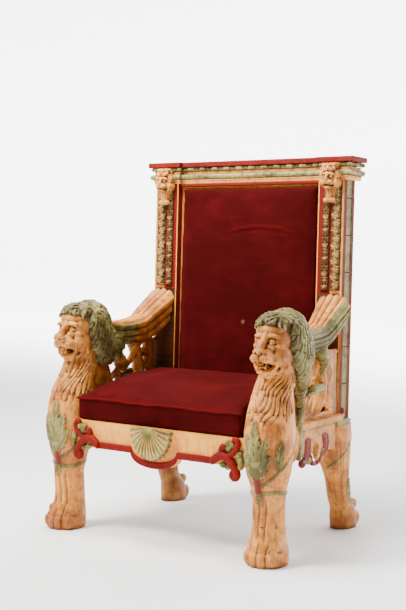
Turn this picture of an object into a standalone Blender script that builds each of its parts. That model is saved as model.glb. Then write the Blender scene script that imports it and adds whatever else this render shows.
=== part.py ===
"""Carved and painted ceremonial armchair with lion front legs, winged arms and a velvet seat and back.

Metres, +Z up. The chair faces -Y and +X is on the viewer's right. The origin is on the floor,
in the middle of the chair's width and depth. The right-hand pieces are modelled and the
left-hand ones are mirrored from them.
"""
import math

import bmesh
import bpy
from mathutils import Matrix, Vector

# Overall sizes
OVERALL_HEIGHT = 1.42
OVERALL_DEPTH = 0.765
FRONT_LINE = -OVERALL_DEPTH / 2
BACK_LINE = OVERALL_DEPTH / 2
GAP = 0.0003

# Lions
LION_SPACING = 0.92
LION_HEIGHT = 0.874
LION_X = LION_SPACING / 2
LION_HALF_WIDTH = 0.094
PAW_REACH = 0.084
LION_Y = FRONT_LINE + PAW_REACH
LION_BACK_DEPTH = 0.205
LION_BACK_Y = LION_Y + LION_BACK_DEPTH
LION_TRIANGLES = 1110
LION_SIDES = 24

# Seat frame
SEAT_HEIGHT = 0.43
RAIL_HEIGHT = 0.10
RAIL_BOTTOM = SEAT_HEIGHT - RAIL_HEIGHT
RAIL_THICKNESS = 0.03
RAIL_SETBACK = 0.041
FRONT_RAIL_Y = FRONT_LINE + RAIL_SETBACK
RAIL_TENON = 0.03
RAIL_END = LION_X - LION_HALF_WIDTH + RAIL_TENON + 0.004
RAIL_TRIM = 0.025
RAIL_TRIM_DEPTH = 0.009
MOULDING_END = 0.262
SCALLOP_HALF_WIDTH = 0.105
SCALLOP_DROP = 0.047
SHELL_RADIUS = 0.097
SHELL_DEPTH = 0.028
SHELL_FLUTES = 13
SCROLL_DEPTH = 0.012
SCROLL_TRIANGLES = 170
SEAT_BOARD_THICKNESS = 0.0244

# Arms
ARM_X = LION_X - 0.03
SIDE_RAIL_THICKNESS = 0.042
SIDE_APRON_DROP = 0.125
APRON_VOLUTE = 0.021
SHELF_THICKNESS = 0.025
SHELF_WIDTH = 0.088
SHELF_CHAMFER = 0.010
ARM_SEAT_HEIGHT = 0.69
ARM_PANEL_THICKNESS = 0.044
ARM_PANEL_TRIANGLES = 300
ARM_SCROLL_RADIUS = 0.02
WING_ROOT_RISE = 0.095
WING_TIP_RISE = 0.219
WING_TIP_HEIGHT = ARM_SEAT_HEIGHT + WING_TIP_RISE
WING_TIP_WIDTH = 0.112
WING_ROOT_WIDTH = 0.052
WING_TIP_LIFT = 0.075
WING_TIP_SHIFT = 0.028
WING_TIP_SLOPE = 0.020
WING_OVERLAP = 0.04
TOP_FEATHERS = 4
TOP_FEATHER_DEPTH = 0.010
SIDE_FEATHERS = 3
SIDE_FEATHER_DEPTH = 0.007

# Back
RAKE = math.radians(2.5)
POST_WIDTH = 0.112
POST_DEPTH = 0.08
POST_X = LION_X - 0.072
POST_INNER = POST_X - POST_WIDTH / 2
POST_OUTER = POST_X + POST_WIDTH / 2
BACK_FOOT_Y = BACK_LINE - 0.170
TOP_BOARD_OVERHANG = 0.038
TOP_BOARD_PROJECTION = 0.012
TOP_BOARD_DEPTH = 0.114
TOP_BOARD_THICKNESS = 0.0207
BEAD_HEIGHT = 0.0157
FRIEZE_HEIGHT = 0.0117
TORUS_HEIGHT = 0.0207
FASCIA_HEIGHT = 0.018
LINTEL_HEIGHT = 0.011
BREAK_DEPTH = 0.018
BACK_BOARD_SETBACK = 0.028
BACK_BOARD_THICKNESS = 0.022
STRIP_DEPTH = 0.009
STRIP_CLEARANCE = 0.006
STRIP_FOOT = WING_TIP_HEIGHT + STRIP_CLEARANCE
CORBEL_WIDTH = 0.087
CORBEL_SHIFT = 0.003
CORBEL_TRIANGLES = 270
BASE_BLOCK_HEIGHT = 0.0217
BASE_BLOCK_OVERHANG = 0.012
REAR_RAIL_Y = BACK_FOOT_Y + BACK_BOARD_SETBACK - 0.004
SEAT_BOARD_HALF = POST_INNER + 0.0277
SIDE_RAIL_END_Y = BACK_FOOT_Y - 0.025

# Back legs
BACK_LEG_X = LION_X - 0.049
BACK_LEG_TENON = 0.010
BACK_LEG_TRIANGLES = 440
BACK_LEG_SIDES = 20

# Upholstery
CUSHION_HEIGHT = 0.085
CUSHION_BACK_RISE = 0.062
CUSHION_CROWN = 0.014
CUSHION_SETBACK = 0.001
CUSHION_BACK_GAP = 0.022
CUSHION_CLEARANCE = 0.004
CUSHION_SCOOP_SHIFT = 0.015
CUSHION_SCOOP_INSET = 0.006
BACK_CUSHION_EDGE = 0.018
BACK_CUSHION_BULGE = 0.03
BACK_CUSHION_LIFT = 0.002
BACK_CUSHION_SHIFT = 0.011
BACK_CUSHION_MARGIN = 0.0145
BACK_CUSHION_TOP_GAP = 0.009

PALETTE = {
    "peach_paint": ((0.76, 0.45, 0.23), 0.55),
    "green_paint": ((0.36, 0.35, 0.19), 0.6),
    "red_paint": ((0.50, 0.05, 0.035), 0.5),
    "cream_paint": ((0.80, 0.58, 0.34), 0.5),
    "bare_wood": ((0.24, 0.12, 0.05), 0.7),
    "velvet": ((0.22, 0.008, 0.01), 0.9),
}


def back_z(height):
    """Turn a height above the floor into a length up the leaning back."""
    return (height - SEAT_HEIGHT) / math.cos(RAKE)


# Heights of the cornice's layers, as lengths up the leaning back
BACK_TOP = back_z(OVERALL_HEIGHT) - TOP_BOARD_PROJECTION * math.tan(RAKE)
BOARD_FOOT = BACK_TOP - TOP_BOARD_THICKNESS
BEAD_TOP = BOARD_FOOT - GAP
BEAD_FOOT = BEAD_TOP - BEAD_HEIGHT
FRIEZE_TOP = BEAD_FOOT - GAP
FRIEZE_FOOT = FRIEZE_TOP - FRIEZE_HEIGHT
TORUS_TOP = FRIEZE_FOOT - GAP
TORUS_FOOT = TORUS_TOP - TORUS_HEIGHT
FASCIA_TOP = TORUS_FOOT - GAP
FASCIA_FOOT = FASCIA_TOP - FASCIA_HEIGHT
POST_TOP = FASCIA_FOOT - GAP
LINTEL_FOOT = POST_TOP - LINTEL_HEIGHT

# The right-hand lion: height, sideways shift, shift to the rear, half width, half depth
LION_BODY = (
    (-0.020, 0.001, -0.004, 0.064, 0.074),
    (0.018, 0.001, -0.005, 0.070, 0.079),
    (0.048, 0.000, -0.004, 0.069, 0.079),
    (0.078, -0.003, 0.002, 0.063, 0.068),
    (0.110, -0.004, 0.007, 0.059, 0.060),
    (0.150, -0.004, 0.008, 0.057, 0.058),
    (0.215, -0.003, 0.006, 0.056, 0.059),
    (0.265, -0.005, 0.009, 0.063, 0.067),
    (0.313, -0.006, 0.011, 0.075, 0.079),
    (0.391, -0.006, 0.013, 0.086, 0.089),
    (0.455, -0.006, 0.015, 0.088, 0.092),
    (0.507, -0.007, 0.022, 0.081, 0.088),
    (0.546, -0.009, 0.031, 0.074, 0.082),
    (0.600, -0.014, 0.053, 0.065, 0.074),
    (0.640, -0.012, 0.075, 0.062, 0.075),
    (0.700, -0.010, 0.085, 0.060, 0.080),
)
LION_HEAD_SHIFT = -0.009

# The right-hand back leg: height, shift to the rear, half width, half depth
BACK_LEG_BODY = (
    (-0.020, 0.010, 0.046, 0.059),
    (0.020, 0.012, 0.049, 0.063),
    (0.050, 0.010, 0.048, 0.063),
    (0.080, 0.002, 0.045, 0.055),
    (0.110, -0.020, 0.043, 0.044),
    (0.145, -0.031, 0.044, 0.045),
    (0.185, -0.036, 0.045, 0.048),
    (0.220, -0.046, 0.048, 0.058),
    (0.260, -0.055, 0.052, 0.072),
    (0.320, -0.056, 0.054, 0.080),
    (0.380, -0.050, 0.052, 0.078),
    (0.440, -0.046, 0.048, 0.072),
)


def clear_scene():
    for old in list(bpy.data.objects):
        bpy.data.objects.remove(old, do_unlink=True)


def new_collection(name, hidden=False):
    group = bpy.data.collections.new(name)
    bpy.context.scene.collection.children.link(group)
    group.hide_render = hidden
    return group


def paint(name):
    """Return a fresh Principled material in one of the chair's finishes."""
    colour, roughness = PALETTE[name]
    finish = bpy.data.materials.new(name)
    finish.use_nodes = True
    shader = finish.node_tree.nodes["Principled BSDF"]
    shader.inputs["Base Color"].default_value = (*colour, 1.0)
    shader.inputs["Roughness"].default_value = roughness
    shader.inputs["Metallic"].default_value = 0.0
    return finish


def make_object(bm, name, finish, group):
    mesh = bpy.data.meshes.new(name)
    bm.to_mesh(mesh)
    bm.free()
    piece = bpy.data.objects.new(name, mesh)
    piece.data.materials.append(finish)
    group.objects.link(piece)
    return piece


def baked_mesh(piece):
    """Return the piece's mesh with its modifiers applied, as a bmesh."""
    graph = bpy.context.evaluated_depsgraph_get()
    mesh = bpy.data.meshes.new_from_object(piece.evaluated_get(graph))
    bm = bmesh.new()
    bm.from_mesh(mesh)
    bpy.data.meshes.remove(mesh)
    return bm


def bake(piece):
    bm = baked_mesh(piece)
    piece.modifiers.clear()
    bm.to_mesh(piece.data)
    bm.free()


def box(bm, low, high):
    """Add a box between two corners."""
    low = Vector(low)
    size = Vector(high) - low
    place = Matrix.Translation(low + size / 2) @ Matrix.Diagonal((*size, 1.0))
    return bmesh.ops.create_cube(bm, size=1.0, matrix=place)["verts"]


def lump(bm, centre, radii, tilt=0.0, sides=14):
    """Add an ellipsoid, turned about the X axis by tilt degrees."""
    turn = Matrix.Rotation(math.radians(tilt), 4, "X")
    place = Matrix.Translation(centre) @ turn @ Matrix.Diagonal((*radii, 1.0))
    bmesh.ops.create_uvsphere(bm, u_segments=sides, v_segments=sides // 2 + 2, radius=1.0, matrix=place)


def limb(bm, path, sides=12):
    """Add a rod of changing radius through the path's points, each x, y, z, radius."""
    for start, end in zip(path, path[1:]):
        first = Vector(start[:3])
        along = Vector(end[:3]) - first
        turn = along.to_track_quat("Z", "Y").to_matrix().to_4x4()
        place = Matrix.Translation(first + along / 2) @ turn
        bmesh.ops.create_cone(
            bm, cap_ends=True, segments=sides, radius1=start[3], radius2=end[3],
            depth=along.length, matrix=place)
    for x, y, z, radius in path:
        lump(bm, (x, y, z), (radius, radius, radius), sides=sides)


def arc(centre, radii, start, end, steps):
    """Return points on an ellipse's arc, with angles in degrees from the first axis."""
    points = []
    for step in range(steps + 1):
        angle = math.radians(start + (end - start) * step / steps)
        points.append((centre[0] + radii[0] * math.cos(angle), centre[1] + radii[1] * math.sin(angle)))
    return points


def loft(bm, rings):
    """Close a skin over rings that have as many points each."""
    rows = [[bm.verts.new(point) for point in ring] for ring in rings]
    count = len(rows[0])
    for lower, upper in zip(rows, rows[1:]):
        for i in range(count):
            j = (i + 1) % count
            bm.faces.new((lower[i], lower[j], upper[j], upper[i]))
    bm.faces.new(rows[0][::-1])
    bm.faces.new(rows[-1])


def ellipse_ring(z, x, y, half_width, half_depth, sides):
    steps = [2 * math.pi * i / sides for i in range(sides)]
    return [(x + half_width * math.cos(a), y + half_depth * math.sin(a), z) for a in steps]


def plate(bm, outline, axis, low, high):
    """Extrude a flat outline along an axis, from low to high."""
    flat_axis = "XYZ".index(axis)
    corners = []
    for u, v in outline:
        corner = [u, v]
        corner.insert(flat_axis, low)
        corners.append(bm.verts.new(corner))
    grown = bmesh.ops.extrude_face_region(bm, geom=[bm.faces.new(corners)])
    for item in grown["geom"]:
        if isinstance(item, bmesh.types.BMVert):
            item.co[flat_axis] = high
    bmesh.ops.recalc_face_normals(bm, faces=bm.faces)


def fuse(bm, name, finish, group, grain, triangles, smoothing=3):
    """Melt overlapping shapes into one carved form with about the wanted number of triangles."""
    piece = make_object(bm, name, finish, group)
    melt = piece.modifiers.new("melt", "REMESH")
    melt.mode = "VOXEL"
    melt.voxel_size = grain
    soften = piece.modifiers.new("soften", "SMOOTH")
    soften.factor = 0.5
    soften.iterations = smoothing
    bake(piece)
    faces = sum(len(face.vertices) - 2 for face in piece.data.polygons)
    facet = piece.modifiers.new("facet", "DECIMATE")
    facet.ratio = triangles / faces
    bake(piece)
    return piece


def remove_shape(piece, cutter_bm, cutters, keep_inside=False):
    """Cut the piece with a shape, or keep only what lies inside the shape."""
    bmesh.ops.recalc_face_normals(cutter_bm, faces=cutter_bm.faces)
    cutter = make_object(cutter_bm, piece.name + "_cutter", paint("bare_wood"), cutters)
    cutter.display_type = "WIRE"
    cutter.hide_render = True
    saw = piece.modifiers.new("saw", "BOOLEAN")
    saw.operation = "INTERSECT" if keep_inside else "DIFFERENCE"
    saw.solver = "EXACT"
    saw.object = cutter
    bpy.context.view_layer.update()
    bake(piece)
    bpy.data.objects.remove(cutter, do_unlink=True)


def cut_box(piece, low, high, cutters, keep_inside=False):
    bm = bmesh.new()
    box(bm, low, high)
    remove_shape(piece, bm, cutters, keep_inside)


def rake_matrix():
    """The back stands on the seat's back edge and leans backward."""
    foot = Matrix.Translation((0, BACK_FOOT_Y, SEAT_HEIGHT))
    return foot @ Matrix.Rotation(-RAKE, 4, "X")


def lean(piece):
    piece.data.transform(rake_matrix())
    piece.data.update()


def cut_behind_post_face(piece, cutters):
    """Trim the piece where it meets the leaning front face of the back."""
    bm = bmesh.new()
    box(bm, (-OVERALL_HEIGHT, -GAP, -OVERALL_HEIGHT), (OVERALL_HEIGHT, OVERALL_DEPTH, OVERALL_HEIGHT))
    bmesh.ops.transform(bm, matrix=rake_matrix(), verts=bm.verts)
    remove_shape(piece, bm, cutters)


def mirrored(piece, name, group):
    """Make the left-hand copy of a right-hand piece."""
    bm = bmesh.new()
    bm.from_mesh(piece.data)
    bmesh.ops.scale(bm, vec=(-1, 1, 1), verts=bm.verts)
    bmesh.ops.reverse_faces(bm, faces=bm.faces)
    return make_object(bm, name, paint(piece.data.materials[0].name.split(".")[0]), group)


def both_sides(piece, name, group):
    piece.name = name + "_right"
    mirrored(piece, name + "_left", group)


# Lion front legs

def lion_shape(bm):
    """Model the right-hand lion about its paw's centre; it is scaled to LION_HEIGHT afterwards."""
    loft(bm, [ellipse_ring(z, x, y, rx, ry, LION_SIDES) for z, x, y, rx, ry in LION_BODY])
    head = LION_HEAD_SHIFT
    for side in (-1, 1):
        lump(bm, (head + side * 0.022, -0.006, 0.789), (0.029, 0.026, 0.012))
        lump(bm, (head + side * 0.042, 0.020, 0.752), (0.023, 0.038, 0.024))
        lump(bm, (head + side * 0.040, 0.038, 0.716), (0.030, 0.052, 0.042))
        lump(bm, (head + side * 0.019, -0.027, 0.709), (0.024, 0.026, 0.017))
        lump(bm, (head + side * 0.035, 0.014, 0.683), (0.013, 0.032, 0.022))
        lump(bm, (head + side * 0.070, 0.110, 0.735), (0.024, 0.080, 0.105))
        lump(bm, (head + side * 0.064, 0.128, 0.670), (0.024, 0.052, 0.052))
    lump(bm, (head, 0.070, 0.780), (0.066, 0.086, 0.070))
    lump(bm, (head, 0.052, 0.828), (0.066, 0.066, 0.040))
    lump(bm, (head, -0.006, 0.722), (0.037, 0.042, 0.027))
    limb(bm, ((head, -0.012, 0.785, 0.016), (head, -0.036, 0.750, 0.016)))
    lump(bm, (head, -0.041, 0.739), (0.021, 0.017, 0.014))
    lump(bm, (head, 0.018, 0.662), (0.040, 0.052, 0.021))
    lump(bm, (head, -0.010, 0.655), (0.028, 0.028, 0.018))
    lump(bm, (head, 0.070, 0.680), (0.058, 0.065, 0.045))
    lump(bm, (head, 0.112, 0.775), (0.086, 0.108, 0.099))
    lump(bm, (head, 0.165, 0.715), (0.070, 0.050, 0.105))
    limb(bm, ((0.040, 0.150, 0.640, 0.024), (0.016, 0.180, 0.560, 0.019), (0.006, 0.190, 0.455, 0.014)))
    lump(bm, (-0.030, 0.120, 0.500), (0.040, 0.120, 0.165))
    lump(bm, (-0.024, 0.170, 0.400), (0.038, 0.080, 0.085))
    for toe in range(4):
        across = -0.050 + 0.034 * toe
        reach = -0.056 if toe in (1, 2) else -0.042
        lump(bm, (across, reach, 0.032), (0.018, 0.032, 0.033))
        lump(bm, (across, reach + 0.016, 0.072), (0.015, 0.020, 0.017))


def make_lion(group, cutters):
    bm = bmesh.new()
    lion_shape(bm)
    lion = fuse(bm, "lion_leg_right", paint("peach_paint"), group, 0.0055, LION_TRIANGLES, 2)
    mouth = bmesh.new()
    lump(mouth, (LION_HEAD_SHIFT, -0.030, 0.687), (0.030, 0.050, 0.0085), tilt=-8)
    remove_shape(lion, mouth, cutters)
    lion.data.transform(Matrix.Scale(LION_HEIGHT / max(vertex.co.z for vertex in lion.data.vertices), 4))
    front = min(vertex.co.y for vertex in lion.data.vertices)
    lion.data.transform(Matrix.Translation((LION_X, FRONT_LINE - front, 0)))
    cut_box(
        lion, (0, FRONT_LINE - LION_HEIGHT, 0), (2 * LION_SPACING, LION_BACK_Y, 2 * LION_HEIGHT),
        cutters, keep_inside=True)
    cut_box(
        lion, (0, FRONT_RAIL_Y - GAP, RAIL_BOTTOM - GAP),
        (RAIL_END + GAP, FRONT_RAIL_Y + RAIL_THICKNESS + GAP, SEAT_HEIGHT), cutters)
    both_sides(lion, "lion_leg", group)


# Seat frame

def front_rail_outline(bottom, end):
    """The rail's lower edge runs straight and drops in a scallop under the shell."""
    scallop = []
    steps = 12
    for step in range(steps + 1):
        x = -SCALLOP_HALF_WIDTH + 2 * SCALLOP_HALF_WIDTH * step / steps
        share = abs(x) / SCALLOP_HALF_WIDTH
        scallop.append((x, bottom - SCALLOP_DROP * math.sqrt(max(0.0, 1.0 - share ** 2.2))))
    return [(-end, bottom)] + scallop + [(end, bottom)]


def make_front_rail(group):
    bm = bmesh.new()
    edge = front_rail_outline(RAIL_BOTTOM, RAIL_END)
    outline = edge + [(RAIL_END, SEAT_HEIGHT - GAP), (-RAIL_END, SEAT_HEIGHT - GAP)]
    plate(bm, outline, "Y", FRONT_RAIL_Y, FRONT_RAIL_Y + RAIL_THICKNESS)
    make_object(bm, "front_rail", paint("cream_paint"), group)
    bm = bmesh.new()
    lower = front_rail_outline(RAIL_BOTTOM, MOULDING_END)
    upper = [(x, z + RAIL_TRIM) for x, z in lower]
    plate(bm, lower + upper[::-1], "Y", FRONT_RAIL_Y - RAIL_TRIM_DEPTH, FRONT_RAIL_Y - GAP)
    make_object(bm, "front_rail_moulding", paint("red_paint"), group)


def make_shell(group):
    """A fan of flutes that spread from the rail's top edge."""
    bm = bmesh.new()
    steps = SHELL_FLUTES * 2
    hinge_z = SEAT_HEIGHT - SHELL_RADIUS * 0.04
    rear_y = FRONT_RAIL_Y - RAIL_TRIM_DEPTH - GAP
    middle_share = 0.6

    def ring_vert(x, depth, z):
        return bm.verts.new((x, rear_y - depth * SHELL_DEPTH, z))

    rear = []
    rim = []
    middle = []
    for step in range(steps + 1):
        turn = math.radians(200 + 140 * step / steps)
        ridge = step % 2
        swell = 1.0 if ridge else 0.955
        reach = SHELL_RADIUS * (1.0 - 0.16 * math.sin(turn)) * swell
        x = reach * math.cos(turn)
        drop = reach * math.sin(turn)
        rear.append(ring_vert(x, 0.0, hinge_z + drop))
        rim.append(ring_vert(x, 0.28 if ridge else 0.15, hinge_z + drop))
        middle.append(ring_vert(x * middle_share, 1.0 if ridge else 0.6, hinge_z + drop * middle_share))
    centre = ring_vert(0.0, 0.35, hinge_z)
    base = ring_vert(0.0, 0.0, hinge_z)
    for i in range(steps):
        bm.faces.new((base, rear[i], rear[i + 1]))
        bm.faces.new((rear[i], rim[i], rim[i + 1], rear[i + 1]))
        bm.faces.new((rim[i], middle[i], middle[i + 1], rim[i + 1]))
        bm.faces.new((middle[i], centre, middle[i + 1]))
    bm.faces.new((base, centre, middle[0], rim[0], rear[0]))
    bm.faces.new((base, rear[-1], rim[-1], middle[-1], centre))
    bmesh.ops.recalc_face_normals(bm, faces=bm.faces)
    make_object(bm, "front_shell", paint("green_paint"), group)


def make_front_scroll(group, cutters):
    """An S-scroll with a volute below, an upper curl and leaves, at the end of the front rail."""
    bm = bmesh.new()
    y = FRONT_RAIL_Y - SCROLL_DEPTH / 2

    def spot(across, up, radius):
        """Measure everything in rail heights, from the end of the moulding."""
        unit = RAIL_HEIGHT
        return (MOULDING_END + across * unit, y, RAIL_BOTTOM + up * unit, radius * unit)

    limb(bm, (spot(0.04, 0.14, 0.13), spot(0.30, 0.30, 0.15), spot(0.56, 0.18, 0.16)))
    limb(bm, (spot(0.56, 0.18, 0.16), spot(0.70, -0.16, 0.15), spot(0.80, -0.46, 0.15)))
    limb(bm, (spot(0.46, 0.26, 0.12), spot(0.76, 0.52, 0.11), spot(0.96, 0.74, 0.11)))
    limb(bm, (spot(0.96, 0.74, 0.11), spot(0.94, 0.98, 0.11)))
    limb(bm, (spot(0.40, 0.32, 0.12), spot(0.28, 0.54, 0.12), spot(0.34, 0.68, 0.11)))
    leaves = ((0.88, -0.56, 0.21), (0.64, 0.78, 0.21), (0.92, 0.26, 0.21), (0.34, -0.12, 0.16))
    for across, up, radius in leaves:
        leaf = radius * RAIL_HEIGHT
        lump(bm, spot(across, up, radius)[:3], (leaf, SCROLL_DEPTH, leaf))
    scroll = fuse(bm, "front_scroll_right", paint("red_paint"), group, 0.003, SCROLL_TRIANGLES, 2)
    low = (MOULDING_END + GAP, FRONT_LINE, 0)
    high = (LION_X - LION_HALF_WIDTH + 0.014, FRONT_RAIL_Y - GAP, SEAT_HEIGHT + 0.006)
    cut_box(scroll, low, high, cutters, keep_inside=True)
    both_sides(scroll, "front_scroll", group)


def make_seat_board(group):
    bm = bmesh.new()
    half = SEAT_BOARD_HALF
    low = (-half, FRONT_RAIL_Y + RAIL_THICKNESS + GAP, SEAT_HEIGHT - SEAT_BOARD_THICKNESS - GAP)
    box(bm, low, (half, REAR_RAIL_Y - GAP, SEAT_HEIGHT - GAP))
    make_object(bm, "seat_board", paint("bare_wood"), group)


def make_rear_rail(group):
    bm = bmesh.new()
    low = (-SEAT_BOARD_HALF, REAR_RAIL_Y, RAIL_BOTTOM)
    box(bm, low, (SEAT_BOARD_HALF, REAR_RAIL_Y + RAIL_THICKNESS, SEAT_HEIGHT - GAP))
    make_object(bm, "rear_rail", paint("bare_wood"), group)


def make_side_rail(group):
    """The apron under the arm: two volutes and an oval drop hang from the rail."""
    bm = bmesh.new()
    start = LION_BACK_Y + GAP
    end = SIDE_RAIL_END_Y
    top = SEAT_HEIGHT - GAP
    low = SEAT_HEIGHT - SIDE_APRON_DROP
    half = SIDE_RAIL_THICKNESS / 2
    belly = RAIL_BOTTOM - APRON_VOLUTE / 5
    middle = start + (end - start) * 0.46
    curl = APRON_VOLUTE
    outline = [(start, top), (start, low + 0.75 * curl)]
    outline += arc((start + 1.25 * curl, low + 0.5 * curl), (curl, 0.9 * curl), 190, 360, 6)
    outline += [(start + 2.85 * curl, belly), (middle - 1.4 * curl, belly)]
    outline += arc((middle, low + curl), (curl, 1.7 * curl), 160, 380, 8)
    outline += [(middle + 1.6 * curl, belly), (end - 2.65 * curl, belly)]
    outline += arc((end - 1.25 * curl, low + 0.55 * curl), (curl, 0.9 * curl), 180, 350, 6)
    outline += [(end, low + 0.75 * curl), (end, top)]
    plate(bm, outline, "X", ARM_X - half, ARM_X + half)
    rail = make_object(bm, "side_rail_right", paint("peach_paint"), group)
    both_sides(rail, "side_rail", group)


def make_side_shelf(group, cutters):
    bm = bmesh.new()
    start = LION_BACK_Y + GAP
    inner = ARM_X - SHELF_WIDTH / 2
    high = (inner + SHELF_WIDTH, BACK_FOOT_Y + POST_DEPTH, SEAT_HEIGHT + SHELF_THICKNESS)
    verts = box(bm, (inner, start, SEAT_HEIGHT), high)
    lower = [vert for vert in verts if vert.co.z < SEAT_HEIGHT + GAP and vert.co.x > ARM_X]
    bmesh.ops.translate(bm, verts=lower, vec=(-SHELF_CHAMFER, 0, 0))
    shelf = make_object(bm, "side_shelf_right", paint("peach_paint"), group)
    cut_behind_post_face(shelf, cutters)
    both_sides(shelf, "side_shelf", group)


# Arms

def widen_across(bm, centre, share):
    """Stretch a shape sideways about a plane across X."""
    bmesh.ops.translate(bm, verts=bm.verts, vec=(-centre, 0, 0))
    bmesh.ops.scale(bm, verts=bm.verts, vec=(share, 1, 1))
    bmesh.ops.translate(bm, verts=bm.verts, vec=(centre, 0, 0))


def make_arm_panel(group, cutters):
    """Pierced scrollwork that carries the wing on the side shelf."""
    bm = bmesh.new()
    x = ARM_X
    front = LION_BACK_Y
    foot = SEAT_HEIGHT + SHELF_THICKNESS + GAP
    rise = ARM_SEAT_HEIGHT - foot
    back = BACK_FOOT_Y

    def spot(along, up, radius):
        """Measure along the panel, and up it, in shares of its length and rise."""
        return (x, front + along * (back - front), foot + up * rise, radius * ARM_SCROLL_RADIUS)

    limb(bm, (spot(0.02, 0.02, 0.84), spot(0.00, 0.28, 0.84), spot(0.06, 0.50, 0.80), spot(0.20, 0.58, 0.70)))
    limb(bm, (spot(0.20, 0.58, 0.70), spot(0.30, 0.50, 0.70), spot(0.26, 0.40, 0.70)))
    limb(bm, (spot(0.14, 0.72, 1.00), spot(0.26, 0.70, 1.70), spot(0.36, 0.56, 1.20), spot(0.42, 0.34, 1.00)))
    limb(bm, (spot(0.42, 0.34, 1.00), spot(0.44, 0.12, 1.10), spot(0.40, 0.02, 0.80)))
    limb(bm, (spot(0.42, 0.46, 1.00), spot(0.50, 0.66, 1.00), spot(0.60, 0.84, 1.00), spot(0.62, 1.04, 1.30)))
    limb(bm, (spot(0.50, 0.30, 1.50), spot(0.60, 0.20, 1.30), spot(0.56, 0.06, 1.00)))
    turns = [2 * math.pi * i / 10 for i in range(11)]
    limb(bm, [spot(0.74 + 0.155 * math.cos(a), 0.68 + 0.135 * math.sin(a), 0.70) for a in turns])
    eye = 0.9 * ARM_SCROLL_RADIUS
    lump(bm, spot(0.72, 0.68, 0)[:3], (eye, 1.4 * eye, eye))
    limb(bm, (spot(0.96, 0.02, 0.90), spot(0.97, 0.50, 0.80), spot(0.96, 0.98, 1.10)))
    limb(bm, (spot(0.84, 0.56, 0.70), spot(0.86, 0.30, 0.80), spot(0.80, 0.02, 0.90)))
    limb(bm, (spot(0.0, 0.04, 0.70), spot(1.0, 0.04, 0.70)))
    limb(bm, (spot(0.0, 0.90, 1.00), spot(0.10, 0.76, 1.10)))
    limb(bm, (spot(0.0, 1.0, 0.90), spot(1.0, 1.0, 0.80)))
    widen_across(bm, x, 1.15)
    panel = fuse(bm, "arm_panel_right", paint("peach_paint"), group, 0.0045, ARM_PANEL_TRIANGLES, 2)
    half = ARM_PANEL_THICKNESS / 2
    cut_box(
        panel, (x - half, front + GAP, foot), (x + half, BACK_LINE, ARM_SEAT_HEIGHT - GAP),
        cutters, keep_inside=True)
    cut_behind_post_face(panel, cutters)
    both_sides(panel, "arm_panel", group)


def wing_section(along, front, back):
    """One cross-section of the wing: feather ridges over the top and down the inner side."""
    y = front + along * (back - front)
    root_z = ARM_SEAT_HEIGHT + WING_ROOT_RISE
    climb = WING_TIP_HEIGHT - root_z
    top = root_z + climb * (0.10 * along + 0.90 * along ** 1.8)
    bottom = ARM_SEAT_HEIGHT + WING_TIP_LIFT * max(0.0, (along - 0.55) / 0.45) ** 1.6
    half = (WING_ROOT_WIDTH + (WING_TIP_WIDTH - WING_ROOT_WIDTH) * along ** 1.3) / 2
    middle = ARM_X - WING_TIP_SHIFT * along ** 1.5
    points = []
    steps = TOP_FEATHERS * 3
    for step in range(steps + 1):
        share = step / steps
        ridge = abs(math.sin(math.pi * TOP_FEATHERS * share))
        slope = WING_TIP_SLOPE * along * (share - 0.45) ** 2 * 4
        z = top - slope - TOP_FEATHER_DEPTH * (1.2 - ridge)
        points.append((middle - half + 2 * half * share, y, z))
    low_out = bottom + 0.3 * (top - bottom) * along
    points.append((middle + half * 1.02, y, low_out + 0.4 * (top - low_out)))
    points.append((middle + half * 0.80, y, low_out))
    points.append((middle + half * 0.30, y, bottom))
    points.append((middle - half * 0.60, y, bottom))
    inner_top = top - 1.2 * TOP_FEATHER_DEPTH
    steps = SIDE_FEATHERS * 2
    for step in range(1, steps):
        share = step / steps
        ridge = abs(math.sin(math.pi * SIDE_FEATHERS * share))
        x = middle - half * (0.86 + 0.10 * share) - SIDE_FEATHER_DEPTH * ridge
        points.append((x, y, bottom + (inner_top - bottom) * share))
    return points


def make_wing(group, cutters):
    bm = bmesh.new()
    front = LION_BACK_Y + GAP
    back = BACK_FOOT_Y + WING_OVERLAP
    stations = 9
    loft(bm, [wing_section(i / stations, front, back) for i in range(stations + 1)])
    bmesh.ops.recalc_face_normals(bm, faces=bm.faces)
    wing = make_object(bm, "wing_right", paint("peach_paint"), group)
    cut_behind_post_face(wing, cutters)
    both_sides(wing, "wing", group)


# Back legs

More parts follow.
